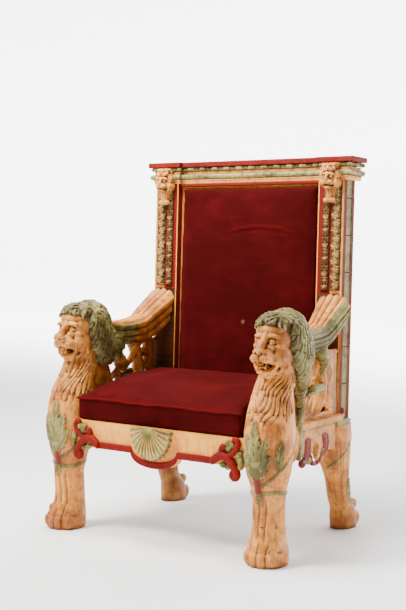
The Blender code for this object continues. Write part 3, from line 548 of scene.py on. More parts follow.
class Nodes:
    """Short names for building a node tree."""

    def __init__(self, name):
        self.material = bpy.data.materials.new(name)
        self.material.use_nodes = True
        self.tree = self.material.node_tree
        self.shader = self.tree.nodes["Principled BSDF"]
        position = self.add("ShaderNodeTexCoord")
        self.mapping = self.add("ShaderNodeMapping")
        self.link(position.outputs["Object"], self.mapping.inputs["Vector"])
        self.place = self.mapping.outputs["Vector"]

    def add(self, kind, **values):
        node = self.tree.nodes.new(kind)
        for key, value in values.items():
            setattr(node, key, value)
        return node

    def link(self, out, into):
        self.tree.links.new(out, into)

    def put(self, socket, value):
        if isinstance(value, bpy.types.NodeSocket):
            self.link(value, socket)
        elif isinstance(value, (int, float)):
            socket.default_value = value
        else:
            colour_socket = len(value) == 3 and len(socket.default_value) == 4
            socket.default_value = (*value, 1.0) if colour_socket else value

    def scaled(self, factors):
        """Object coordinates stretched by three factors."""
        node = self.add("ShaderNodeMapping")
        node.inputs["Scale"].default_value = factors
        self.link(self.place, node.inputs["Vector"])
        return node.outputs["Vector"]

    def noise(self, scale, detail=3.0, rough=0.55, vector=None, distortion=0.0):
        node = self.add("ShaderNodeTexNoise")
        self.link(vector or self.place, node.inputs["Vector"])
        node.inputs["Scale"].default_value = scale
        node.inputs["Detail"].default_value = detail
        node.inputs["Roughness"].default_value = rough
        node.inputs["Distortion"].default_value = distortion
        return node.outputs["Fac"]

    def cells(self, scale):
        """How far each point is from the middle of its cell."""
        node = self.add("ShaderNodeTexVoronoi")
        self.link(self.place, node.inputs["Vector"])
        node.inputs["Scale"].default_value = scale
        return node.outputs["Distance"]

    def attribute(self, name):
        return self.add("ShaderNodeAttribute", attribute_name=name).outputs["Fac"]

    def math(self, operation, first, second=0.0, clamp=False):
        node = self.add("ShaderNodeMath", operation=operation, use_clamp=clamp)
        self.put(node.inputs[0], first)
        self.put(node.inputs[1], second)
        return node.outputs[0]

    def step(self, value, low, high):
        """Ease from 0 at low to 1 at high."""
        node = self.add("ShaderNodeMapRange", interpolation_type="SMOOTHSTEP")
        self.put(node.inputs["Value"], value)
        node.inputs["From Min"].default_value = low
        node.inputs["From Max"].default_value = high
        return node.outputs["Result"]

    def mix(self, factor, first, second):
        node = self.add("ShaderNodeMix", data_type="RGBA")
        self.put(node.inputs["Factor"], factor)
        self.put(node.inputs["A"], first)
        self.put(node.inputs["B"], second)
        return node.outputs["Result"]

    def bump(self, height, strength, distance):
        node = self.add("ShaderNodeBump")
        node.inputs["Strength"].default_value = strength
        node.inputs["Distance"].default_value = distance
        self.link(height, node.inputs["Height"])
        return node.outputs["Normal"]


def paint_material(name, base, light, chips, gloss, wear_and_highlight):
    """Old paint on carved wood: mottled, with dirt and painted shade in the hollows, worn and painted with highlights
    on the raised edges, chipped and wormed.
    """
    paint = look().paint
    n = Nodes(name)
    mottle = n.noise(9.0, 4.0, 0.6)
    patches = n.noise(31.0, 3.0, 0.55)
    streaks = n.noise(120.0, 3.0, 0.6, n.scaled((1.0, 1.0, 0.12)))
    fine = n.noise(420.0, 2.0, 0.6)
    relief = n.attribute("relief")
    tone = n.math("ADD", n.math("MULTIPLY", mottle, 0.6), n.math("MULTIPLY", patches, 0.4))
    body = n.mix(n.step(tone, 0.38, 0.60), base, light)
    green = n.mix(n.step(tone, 0.42, 0.64), tuple(paint.green), tuple(paint.green_light))
    body = n.mix(n.attribute("green"), body, green)
    red = n.mix(n.step(tone, 0.38, 0.66), tuple(paint.red), tuple(min(1.0, c * 1.35) for c in paint.red))
    body = n.mix(n.attribute("red"), body, red)
    body = n.mix(n.attribute("cream"), body, tuple(paint.cream))
    body = n.mix(n.step(streaks, 0.50, 0.72), body, n.mix(0.40, body, tuple(paint.grime_and_shade)))
    # Painted highlight, with some wear: the raised relief is lightened towards a pale tan, least on red paint.
    raised = n.math("MULTIPLY", n.step(relief, -0.03, -0.20), n.step(n.noise(60.0), 0.40, 0.60))
    raised = n.math("MULTIPLY", raised, n.math("SUBTRACT", 1.0, n.attribute("red"), clamp=True))
    body = n.mix(n.math("MULTIPLY", raised, wear_and_highlight), body, n.mix(0.5, body, (0.95, 0.66, 0.32)))
    # Dirt and painted shade: the hollows of the relief are darkened with the grime colour.
    hollow = n.step(n.math("ADD", relief, n.math("MULTIPLY", n.math("SUBTRACT", patches, 0.5), 0.14)), 0.0, 0.19)
    body = n.mix(n.math("MULTIPLY", hollow, 0.90, clamp=True), body, tuple(paint.grime_and_shade))
    # The dark attribute carries painted shade in grooves, gaps and recesses as well as painted marks and dirt.
    dark = n.attribute("dark")
    body = n.mix(dark, body, tuple(paint.grime_and_shade))
    chip_field = n.noise(74.0, 5.0, 0.62, distortion=0.6)
    chip_start = 0.795 - 0.07 * chips
    chip = n.step(n.math("ADD", chip_field, n.math("MULTIPLY", mottle, 0.22)), chip_start, chip_start + 0.02)
    worm = n.cells(230.0)
    hole = n.math("MULTIPLY", n.step(worm, 0.13, 0.09), n.step(n.noise(38.0), 0.66, 0.70))
    scratch = n.step(n.noise(300.0, 2.0, 0.5, n.scaled((1.0, 1.0, 0.06))), 0.705, 0.73)
    damage = n.math("MAXIMUM", chip, n.math("MAXIMUM", hole, n.math("MULTIPLY", scratch, 0.55)))
    bare = n.mix(n.step(patches, 0.45, 0.6), tuple(paint.grime_and_shade), tuple(paint.wood))
    body = n.mix(n.math("MULTIPLY", damage, 0.88), body, bare)
    n.link(body, n.shader.inputs["Base Color"])
    rough = n.math("ADD", gloss, n.math("MULTIPLY", n.math("ADD", patches, damage), 0.24))
    n.link(rough, n.shader.inputs["Roughness"])
    n.shader.inputs["Specular IOR Level"].default_value = 0.12 + 0.25 * wear_and_highlight
    height = n.math("ADD", n.math("MULTIPLY", patches, 0.5), n.math("MULTIPLY", fine, 0.10))
    height = n.math("SUBTRACT", height, n.math("MULTIPLY", damage, 0.55))
    height = n.math("ADD", height, n.math("MULTIPLY", streaks, 0.16))
    n.link(n.bump(height, 0.55, 0.0016), n.shader.inputs["Normal"])
    return n.material


def velvet_material(name):
    """Cut pile that catches light at its edges, rubbed in places, with a painted sheen mixed into the rubbed places."""
    velvet = look().velvet
    n = Nodes(name)
    cloud = n.noise(7.0, 4.0, 0.62)
    brushed = n.noise(38.0, 4.0, 0.6, n.scaled((0.35, 1.0, 1.0)))
    pile = n.noise(1900.0, 2.0, 0.7)
    rib = n.noise(900.0, 1.0, 0.5, n.scaled((1.0, 1.0, 0.02)))
    tone = n.math("ADD", n.math("MULTIPLY", cloud, 0.62), n.math("MULTIPLY", brushed, 0.38))
    body = n.mix(n.step(tone, 0.42, 0.72), tuple(velvet.velvet), tuple(velvet.velvet_worn))
    # Worn pile and painted sheen: lighter where the attribute marks the seat's top, the piping and the back cushion's
    # crease.
    wear_and_highlight = tuple(min(1.0, c * 1.7) for c in velvet.velvet_worn)
    body = n.mix(n.math("MULTIPLY", n.attribute("worn_and_sheen"), 0.75), body, wear_and_highlight)
    body = n.mix(n.math("MULTIPLY", n.attribute("pale"), 0.4), body, (0.55, 0.28, 0.22))
    body = n.mix(n.math("MULTIPLY", n.step(pile, 0.35, 0.7), 0.35), body, n.mix(0.5, body, (0.03, 0.0, 0.0)))
    n.link(body, n.shader.inputs["Base Color"])
    n.shader.inputs["Roughness"].default_value = 0.86
    n.shader.inputs["Specular IOR Level"].default_value = 0.05
    n.shader.inputs["Sheen Weight"].default_value = 0.20
    n.shader.inputs["Sheen Roughness"].default_value = 0.38
    n.shader.inputs["Sheen Tint"].default_value = (0.75, 0.10, 0.10, 1.0)
    fibres = n.math("ADD", n.math("MULTIPLY", rib, 0.25), n.math("MULTIPLY", brushed, 0.9))
    fibres = n.math("ADD", n.math("MULTIPLY", pile, 0.6), fibres)
    n.link(n.bump(fibres, 0.45, 0.0009), n.shader.inputs["Normal"])
    return n.material


def wood_material(name):
    """Bare, aged wood of the unseen boards, with its grain along X."""
    paint = look().paint
    n = Nodes(name)
    growth = n.noise(16.0, 5.0, 0.6, n.scaled((0.12, 1.0, 1.0)), distortion=1.1)
    pores = n.noise(340.0, 2.0, 0.6, n.scaled((0.05, 1.0, 1.0)))
    body = n.mix(n.step(growth, 0.36, 0.66), tuple(c * 0.55 for c in paint.wood),
                 tuple(c * 1.35 for c in paint.wood))
    body = n.mix(n.step(pores, 0.56, 0.72), body, n.mix(0.6, body, tuple(paint.grime_and_shade)))
    n.link(body, n.shader.inputs["Base Color"])
    n.link(n.math("ADD", 0.62, n.math("MULTIPLY", pores, 0.2)), n.shader.inputs["Roughness"])
    n.shader.inputs["Specular IOR Level"].default_value = 0.12
    n.link(n.bump(n.math("ADD", n.math("MULTIPLY", growth, 0.5), pores), 0.35, 0.0008), n.shader.inputs["Normal"])
    return n.material


def finishes():
    """Make each finish once and return them by name."""
    paint = look().paint
    made = {}
    for name, base, light, gloss, wear_and_highlight in (
            ("peach_paint", paint.peach, paint.peach_light, 0.38, 0.6),
            ("green_paint", paint.green, paint.green_light, 0.46, 0.6),
            ("red_paint", paint.red, [c * 1.3 for c in paint.red], 0.55, 0.04),
            ("cream_paint", paint.cream, paint.peach_light, 0.42, 0.4)):
        material = bpy.data.materials.get(name + "_aged")
        if material is None:
            material = paint_material(name + "_aged", tuple(base), tuple(light), paint.chips, gloss, wear_and_highlight)
        made[name] = material
    made["bare_wood"] = bpy.data.materials.get("bare_wood_aged") or wood_material("bare_wood_aged")
    made["velvet"] = bpy.data.materials.get("velvet_worn") or velvet_material("velvet_worn")
    return made


# Lions

def lion_clay(left):
    """Model one lion round its paw's middle. The left one has a fuller brow, snout and open mouth."""
    clay = Clay()
    clay.rings(LION_BODY)
    head = LION_HEAD_SHIFT
    snout = -0.006 if left else 0.0
    brow = -0.007 if left else 0.0
    lips = 0.006 if left else 0.0
    chin = 0.012 if left else 0.0
    for centre, radii, turn in (
            ((0.0250, 0.003 + brow, 0.7855), (0.0260, 0.0170, 0.0105), (0, 7, 0)),
            ((0.042, 0.022, 0.7500), (0.0210, 0.0290, 0.0140), (0, 14, 0)),
            ((0.040, 0.040, 0.7160), (0.0300, 0.052, 0.0420), (0, 0, 0)),
            ((0.031, 0.046, 0.7680), (0.0350, 0.0520, 0.0430), (0, 0, 0)),
            ((0.0270, 0.0005 + brow / 2, 0.7650), (0.0100, 0.0075, 0.0060), (0, 0, 0)),
            ((0.0220, -0.010, 0.7480), (0.0150, 0.0150, 0.0130), (0, 0, 0)),
            ((0.0165, -0.045 + snout, 0.7330), (0.0098, 0.0125, 0.0088), (0, 10, 0)),
            ((0.0190, -0.033 + lips, 0.7115), (0.0240, 0.0265, 0.0175), (0, 10, 0)),
            ((0.0310, -0.014, 0.7010), (0.0165, 0.0260, 0.0100), (0, 20, 0))):
        clay.pair(centre, radii, "skin", turn, head)
    for centre, radii, turn in (
            ((0, 0.070, 0.780), (0.064, 0.084, 0.066), (0, 0, 0)),
            ((0, 0.024, 0.804), (0.051, 0.038, 0.026), (0, 0, 0)),
            ((0, -0.007 + brow, 0.7815), (0.0105, 0.0120, 0.0090), (0, 0, 0)),
            ((0, -0.008 + snout, 0.7230), (0.036, 0.042, 0.026), (0, 0, 0)),
            ((0, -0.050 + snout, 0.7370), (0.0205, 0.0125, 0.0105), (0, 0, 0)),
            ((0, -0.049 + snout, 0.7390), (0.0205, 0.0165, 0.0165) if left else (0.0150, 0.0120, 0.0110), (0, 0, 0)),
            ((0, 0.016 + chin / 2, 0.6640), (0.038, 0.050, 0.018), (0, 0, 0)),
            ((0, -0.019 + chin, 0.6640), (0.0275, 0.0250, 0.0088), (6, 0, 0)),
            ((0, -0.007 + chin, 0.6520), (0.0225, 0.0250, 0.0135), (0, 0, 0)),
            ((0, 0.070, 0.680), (0.058, 0.065, 0.045), (0, 0, 0))):
        clay.lump((head + centre[0], centre[1], centre[2]), radii, "skin", turn)
    clay.limb([(head, y, z, r) for y, z, r in (
        (-0.006, 0.788, 0.0135), (-0.029 + snout, 0.7590, 0.0125), (-0.042 + snout, 0.7440, 0.0135))], "skin")
    for path in (
            ((0.0140, -0.0115, 0.7640, 0.0024), (0.0265, -0.0120, 0.7705, 0.0030), (0.0420, -0.0040, 0.7640, 0.0026)),
            ((0.0150, -0.0120, 0.7632, 0.0024), (0.0265, -0.0125, 0.7598, 0.0030), (0.0400, -0.0040, 0.7640, 0.0026)),
            ((0.0230, -0.0400 + snout, 0.7270, 0.0050), (0.0390, -0.0180, 0.7190, 0.0062),
             (0.0460, -0.0060, 0.7000, 0.0060), (0.0430, -0.0060, 0.6800, 0.0052), (0.0330, -0.0140, 0.6690, 0.0050)),
            ((0.0400, -0.0020, 0.7370, 0.0056), (0.0545, 0.0120, 0.7180, 0.0064), (0.0565, 0.0200, 0.6920, 0.0062),
             (0.0490, 0.0180, 0.6690, 0.0056), (0.0360, 0.0120, 0.6560, 0.0050)),
            ((0.0560, 0.0300, 0.7350, 0.0060), (0.0640, 0.0400, 0.7080, 0.0064), (0.0600, 0.0440, 0.6760, 0.0062))):
        clay.pair_limb(path, "skin", head)
    clay.pair((0.069, 0.118, 0.742), (0.025, 0.070, 0.103), "green", (18, 0, 0), head)
    clay.pair((0.060, 0.136, 0.670), (0.025, 0.046, 0.054), "green", (0, 0, 0), head)
    for centre, radii in (
            ((0, 0.056, 0.8290), (0.0635, 0.0630, 0.0375)),
            ((0, 0.114, 0.776), (0.085, 0.104, 0.098)),
            ((0, 0.165, 0.715), (0.070, 0.050, 0.105))):
        clay.lump((head + centre[0], centre[1], centre[2]), radii, "green")
    for tuft in range(9):
        across = (tuft - 4) * 0.0138
        bow = across * across
        lift = 0.0030 * math.sin(tuft * 2.4)
        lean = 0.0035 * math.sin(tuft * 1.9)
        clay.limb(((head + 0.85 * across, 0.036 + 9 * bow, 0.8560 - 5 * bow, 0.0095),
                   (head + across, 0.004 + 9 * bow, 0.8450 - 5 * bow + lift, 0.0098),
                   (head + 1.04 * across + lean, -0.0070 + 9 * bow, 0.8310 - 5 * bow + lift, 0.0072),
                   (head + 1.04 * across + 2 * lean, -0.0080 + 9 * bow, 0.8235 - 5 * bow + lift, 0.0045)), "green")
    clay.limb(((0.040, 0.150, 0.640, 0.024), (0.016, 0.180, 0.560, 0.019), (0.006, 0.190, 0.455, 0.014)), "green")
    clay.limb(((0.006, 0.190, 0.455, 0.013), (0.004, 0.190, 0.335, 0.010)), "green")
    clay.lump((-0.030, 0.120, 0.500), (0.040, 0.120, 0.165), "body")
    clay.lump((-0.024, 0.170, 0.400), (0.038, 0.080, 0.085), "body")
    for toe in range(4):
        across = -0.049 + 0.033 * toe
        reach = -0.056 if toe in (1, 2) else -0.042
        clay.lump((across, reach, 0.031), (0.0175, 0.031, 0.032), "body")
        clay.lump((across, reach + 0.016, 0.070), (0.0155, 0.022, 0.020), "body")
    return clay


def ring_at(table, z, column):
    heights = [row[0] for row in table]
    return np.interp(z, heights, [row[column] for row in table])


def tress(across, along, period, seed):
    """Height from 0 to 1 of overlapping locks, and how deep each point lies in a gap."""
    index = np.floor(across)
    within = (across - index) * 2 - 1
    shift = np.mod(np.sin(index * 12.9898 + seed) * 43758.5453, 1.0)
    lift = np.mod(np.sin(index * 78.233 + seed) * 12543.123, 1.0)
    t = np.mod(along / period + shift, 1.0)
    point = np.clip((t - 0.62) / 0.38, 0, 1)
    width = np.sqrt(np.clip(1 - point ** 2, 0, 1))
    inside = np.clip(1 - (np.abs(within) / np.maximum(width, 0.05)) ** 2, 0, 1)
    ridge = np.sqrt(inside)
    strands = 0.07 * np.sin(within * 6.5 + 2 * point) * ridge
    height = ridge * (0.55 + 0.45 * t) * (0.75 + 0.25 * lift) + strands
    return height, 1 - smoothstep(0.0, 0.45, ridge)


def carve_mane(co, normals, hair):
    """Long wavy locks in overlapping tufts, combed back from the forehead and down the sides."""
    lion = look().lion
    side = np.abs(co[:, 0] - LION_HEAD_SHIFT)
    run = 0.75 * co[:, 1] - co[:, 2]
    wave = 0.0032 * np.sin(run * 120 + 30 * side) + 0.0015 * np.sin(run * 260)
    across = (0.55 * side - 0.85 * co[:, 1] + wave) / lion.lock_width
    height, gap = tress(across, run, lion.tuft, 0.0)
    depth = (height - 0.62) * lion.lock_depth
    return co + normals * (depth * hair)[:, None], gap * hair


def carve_chest(co, normals, angle):
    """Strands that sweep from the mane's edge down and inward over the chest."""
    lion = look().lion
    z = co[:, 2]
    turn = np.abs(angle)
    slant = turn - 4.4 * (z - 0.50) + 0.09 * np.sin(z * 52 + 3 * angle)
    height, gap = tress(slant * 0.075 / lion.fur_width, -z, 0.085, 3.0)
    foot = 0.480 + 0.022 * turn + 0.010 * np.sin(slant * 9)
    mask = smoothstep(foot - 0.012, foot + 0.012, z) * smoothstep(0.668, 0.640, z)
    mask *= smoothstep(2.15, 1.75, turn)
    depth = (height - 0.55) * lion.fur_depth * mask
    return co + normals * depth[:, None], gap * mask


def carve_lion(piece, clay):
    """Carve hair, fur, grooves, leaves and ribbons into the melted form and mark their colours, with painted shade in
    the gaps, grooves and pits.
    """
    lion = look().lion
    mesh = piece.data
    co = points_of(mesh)
    d_green = clay.distance(co, "green")
    d_skin = np.minimum(clay.distance(co, "skin"), clay.distance(co, "body"))
    hair = tagged(d_green, d_skin)
    tail = smoothstep(0.50, 0.44, co[:, 2])
    co, gaps = carve_mane(co, normals_of(mesh), hair * (1 - 0.6 * tail))
    set_points(mesh, co)
    normals = normals_of(mesh)
    x, y, z = co.T
    centre_x = ring_at(LION_BODY, z, 1)
    centre_y = ring_at(LION_BODY, z, 2)
    radius = (ring_at(LION_BODY, z, 3) + ring_at(LION_BODY, z, 4)) / 2
    angle = np.arctan2(x - centre_x, -(y - centre_y))
    unrolled = angle * radius
    bare = 1 - hair
    co, fur_gaps = carve_chest(co, normals * bare[:, None], angle)
    depth = np.zeros(len(co))
    shank = smoothstep(0.075, 0.11, z) * smoothstep(0.255, 0.20, z)
    for groove in (-0.52, -0.08, 0.36):
        line = angle - groove - 0.05 * np.sin(z * 40)
        depth -= 0.0056 * np.exp(-(line / 0.07) ** 2) * shank
        depth += 0.0016 * np.exp(-((line - 0.2) / 0.10) ** 2) * shank
    paw = smoothstep(0.105, 0.07, z) * (y < 0.01)
    for cleft in (-0.0325, 0.0005, 0.0335):
        depth -= 0.0060 * np.exp(-((x - cleft) / 0.0035) ** 2) * paw
    depth -= 0.0030 * np.exp(-((z - 0.054) / 0.004) ** 2) * paw * (y < -0.02)
    green = hair.copy()
    # Painted shade in the gaps between the mane's locks and between the chest's strands.
    dark = 0.90 * gaps + 0.62 * fur_gaps * bare
    front = np.abs(angle) < 1.9
    leaves = np.zeros(len(co))
    for base, tip, width, lobes in (
            ((0.000, 0.300), (-0.004, 0.508), 0.025, 7.0),
            ((-0.004, 0.296), (-0.040, 0.458), 0.021, 6.0),
            ((0.004, 0.296), (0.038, 0.452), 0.021, 6.0),
            ((-0.006, 0.300), (-0.056, 0.392), 0.014, 4.0),
            ((0.006, 0.300), (0.054, 0.388), 0.014, 4.0),
            ((-0.072, 0.330), (-0.100, 0.432), 0.017, 4.0),
            ((0.072, 0.334), (0.098, 0.438), 0.017, 4.0),
            ((0.004, 0.258), (0.010, 0.204), 0.0065, 2.0),
            ((-0.004, 0.258), (-0.010, 0.212), 0.0065, 2.0)):
        height, mask = leaf_relief(unrolled, z, base, tip, width, lobes)
        leaves = np.maximum(leaves, height + 0.35 * mask)
        green = np.maximum(green, mask * front)
    stems = np.abs(np.sin(unrolled * 620)) * smoothstep(0.014, 0.011, np.abs(unrolled))
    stems *= smoothstep(0.292, 0.298, z) * smoothstep(0.345, 0.325, z)
    leaves = np.maximum(leaves, 0.9 * stems)
    green = np.maximum(green, np.minimum(1.0, 2 * stems) * front)
    depth += lion.leaf_depth * leaves * front
    outline = np.exp(-((green - 0.5) / 0.3) ** 2) * (z < 0.55) * front
    dark = np.maximum(dark, 0.5 * outline)
    half = lion.ribbon_width / 2
    for height_at in (0.250 + 0.005 * np.sin(angle * 2), 0.272 + 0.052 * np.abs(angle) ** 1.35):
        band = smoothstep(half + 0.0012, half - 0.0012, np.abs(z - height_at)) * (np.abs(angle) > 0.12) * bare
        groove = np.exp(-((z - height_at) / 0.0018) ** 2)
        rim = np.exp(-((np.abs(z - height_at) - half) / 0.0015) ** 2) * (np.abs(angle) > 0.12) * bare
        depth += 0.0024 * band * (1 - 0.6 * groove)
        green = np.maximum(green, band)
        dark = np.maximum(dark, 0.6 * rim * (height_at < 0.5))
    tie = smoothstep(0.0125, 0.0105, np.abs(unrolled)) * smoothstep(0.029, 0.026, np.abs(z - 0.278)) * front
    depth = depth * (1 - tie) + 0.0080 * tie * np.sqrt(np.clip(1 - (unrolled / 0.0135) ** 2, 0, 1))
    green = green * (1 - tie)
    dark = dark * (1 - tie)
    co = co + normals * depth[:, None]
    hx = x - LION_HEAD_SHIFT
    push = np.zeros(len(co))
    face = (y < 0.05) * bare * (z > 0.60)
    for side in (-1, 1):
        iris = np.hypot(hx - side * 0.0275, z - 0.7665)
        in_front = y < -0.004
        eye = (0.12 + 0.55 * smoothstep(0.0036, 0.0022, iris)) * smoothstep(0.0090, 0.0078, iris)
        dark = np.maximum(dark, eye * in_front * face)
        # Painted shade in the eye sockets.
        socket = np.exp(-((iris - 0.0118) / 0.0030) ** 2) * in_front * face
        push += 0.0034 * socket
        dark = np.maximum(dark, 0.75 * socket)
        # Painted shadow under the brow.
        brow_line = np.exp(-((z - 0.7785 - 0.18 * (np.abs(hx) - 0.024)) / 0.0016) ** 2)
        brow_line *= smoothstep(0.006, 0.012, side * hx) * smoothstep(0.046, 0.040, side * hx) * (y < 0.004) * face
        push += 0.0026 * brow_line
        dark = np.maximum(dark, 0.65 * brow_line)
        # Painted shade in the nostrils, in the creases under the eyes and in the whisker pits.
        nostril = np.hypot((hx - side * 0.0115) / 1.4, z - 0.7300)
        push += 0.0070 * smoothstep(0.0050, 0.0018, nostril) * (y < -0.035) * face
        dark = np.maximum(dark, 0.95 * smoothstep(0.0048, 0.0028, nostril) * (y < -0.03) * face)
        bag = np.exp(-((np.hypot(hx - side * 0.029, (z - 0.768) * 1.3) - 0.0185) / 0.0016) ** 2) * (z < 0.764)
        push += 0.0020 * bag * (y < 0.0) * face
        dark = np.maximum(dark, 0.30 * bag * (y < 0.0) * face)
        for row in range(3):
            for spot in range(3):
                dot = np.hypot(hx - side * (0.012 + 0.009 * spot + 0.003 * (row % 2)), z - (0.7175 - 0.0075 * row))
                prick = smoothstep(0.0024, 0.0010, dot) * (y < -0.02) * face
                push += 0.0018 * prick
                dark = np.maximum(dark, 0.6 * prick)
    # Painted shade in the nose's crease and, below, in the frown lines.
    crease = np.exp(-(hx / 0.0018) ** 2) * smoothstep(0.690, 0.700, z) * smoothstep(0.727, 0.720, z) * (y < -0.02)
    push += 0.005 * crease * face
    dark = np.maximum(dark, 0.5 * crease * face)
    for offset in (-0.0085, 0.0, 0.0085):
        frown = np.exp(-((hx - offset - 0.12 * offset * (z - 0.78) / 0.01) / 0.0017) ** 2)
        frown *= smoothstep(0.777, 0.783, z) * smoothstep(0.806, 0.797, z) * (y < 0.01) * face
        push += 0.0028 * frown
        dark = np.maximum(dark, 0.35 * frown)
    for level in (0.800, 0.8075):
        wrinkle = np.exp(-((z - level - 0.004 * np.cos(hx * 90)) / 0.0014) ** 2)
        push += 0.0013 * wrinkle * smoothstep(0.045, 0.03, np.abs(hx)) * face
    for level in (0.745, 0.7505):
        wrinkle = np.exp(-((z - level - 0.5 * np.abs(hx)) / 0.0013) ** 2)
        push += 0.0014 * wrinkle * smoothstep(0.018, 0.012, np.abs(hx)) * (y < -0.02) * face
    co[:, 1] += push
    # Painted shade along the groove where the mane meets the face.
    edge = np.exp(-((hair - 0.5) / 0.35) ** 2) * (z > 0.60)
    dark = np.maximum(dark, 0.6 * edge)
    dark = np.maximum(dark, 0.8 * smoothstep(0.018, 0.004, z))
    dark = np.maximum(dark, 0.30 * smoothstep(0.11, 0.05, z) * (0.5 + 0.5 * noise(co, 90)))
    return co, green, tie, dark


def make_lion(paints, side):
    """Carve one lion on the right, and turn it over for the left side."""
    lion = look().lion
    left = side == "left"
    node = "lion_leg_" + side
    low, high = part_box("lion_leg_right")
    clay = lion_clay(left)
    piece = clay.melt("lion_" + side, lion.grain, 2)
    bite = Clay()
    gape = 0.0130 if left else 0.0125
    bite.lump((LION_HEAD_SHIFT, -0.034, 0.6870), (0.0275, 0.0540, gape), turn=(-8, 0, 0), sides=32)
    bite.pair((0.024, -0.026, 0.6905), (0.012, 0.030, 0.0062), axis=LION_HEAD_SHIFT, turn=(-8, 24, 0))
    cutter = bite.melt("mouth_cutter", 0.0016, 1)
    saw = piece.modifiers.new("saw", "BOOLEAN")
    saw.operation = "DIFFERENCE"
    saw.solver = "EXACT"
    saw.object = cutter
    bpy.context.view_layer.update()
    baked(piece)
    bpy.data.objects.remove(cutter, do_unlink=True)
    co, green, red, dark = carve_lion(piece, clay)
    mesh = piece.data
    mouth = bite.distance(co, "")
    inside = smoothstep(0.0015, -0.0005, mouth)
    deep = smoothstep(-0.050, -0.030, co[:, 1])
    rim = np.exp(-((mouth - 0.0030) / 0.0022) ** 2) * (co[:, 1] < 0.012) * (co[:, 2] < 0.6860)
    add_attribute(mesh, "green", green * (1 - inside))
    add_attribute(mesh, "red", red)
    # Painted shade inside the mouth, darkest towards the back.
    add_attribute(mesh, "dark", np.maximum(dark * (1 - rim), 0.95 * inside * deep))
    add_attribute(mesh, "cream", 0.75 * rim)
    scale = high.z / co[:, 2].max()
    co *= scale
    co += np.array((lion.spacing / 2, low.y - co[:, 1].min(), 0.0))
    co[:, 1] = np.minimum(co[:, 1], high.y)
    co[:, 2] = np.maximum(co[:, 2], 0.0)
    set_points(mesh, co)
    mark_relief(mesh, 2)
    slimmed(piece, lion.triangles)
    mesh = piece.data
    count = len(mesh.vertices)
    teeth = bmesh.new()
    teeth.from_mesh(mesh)
    centre = Vector((lion.spacing / 2 + LION_HEAD_SHIFT, low.y + 0.084, 0.0))
    for mirror in (-1, 1):
        for x, y, z, reach, flip in ((0.0175, -0.034, 0.6815, 0.012, 0), (0.0190, -0.030, 0.6930, 0.011, 180)):
            place = Matrix.Translation(centre + Vector((mirror * x, y, z)))
            place = place @ Matrix.Rotation(math.radians(flip), 4, "X")
            bmesh.ops.create_cone(
                teeth, cap_ends=True, segments=12, radius1=0.0034, radius2=0.0007, depth=reach, matrix=place)
    tooth_end = len(teeth.verts)
    tongue = Matrix.Translation(centre + Vector((0.0, -0.014, 0.6800))) @ Matrix.Diagonal((0.0150, 0.0300, 0.0048, 1.0))
    bmesh.ops.create_uvsphere(teeth, u_segments=20, v_segments=12, radius=1.0, matrix=tongue)
    teeth.to_mesh(mesh)
    teeth.free()
    for name, first, last, value in (("cream", count, tooth_end, 0.9), ("red", tooth_end, None, 0.45)):
        values = read_attribute(mesh, name)
        values[first:last] = value
        add_attribute(mesh, name, values)
    if left:
        co = points_of(mesh)
        co[:, 0] *= -1
        set_points(mesh, co)
        mesh.flip_normals()
    shade_smooth(piece)
    finish_piece(piece, paints["peach_paint"], "peach_paint", node)


def make_lions(paints):
    make_lion(paints, "right")
    make_lion(paints, "left")


# Back legs

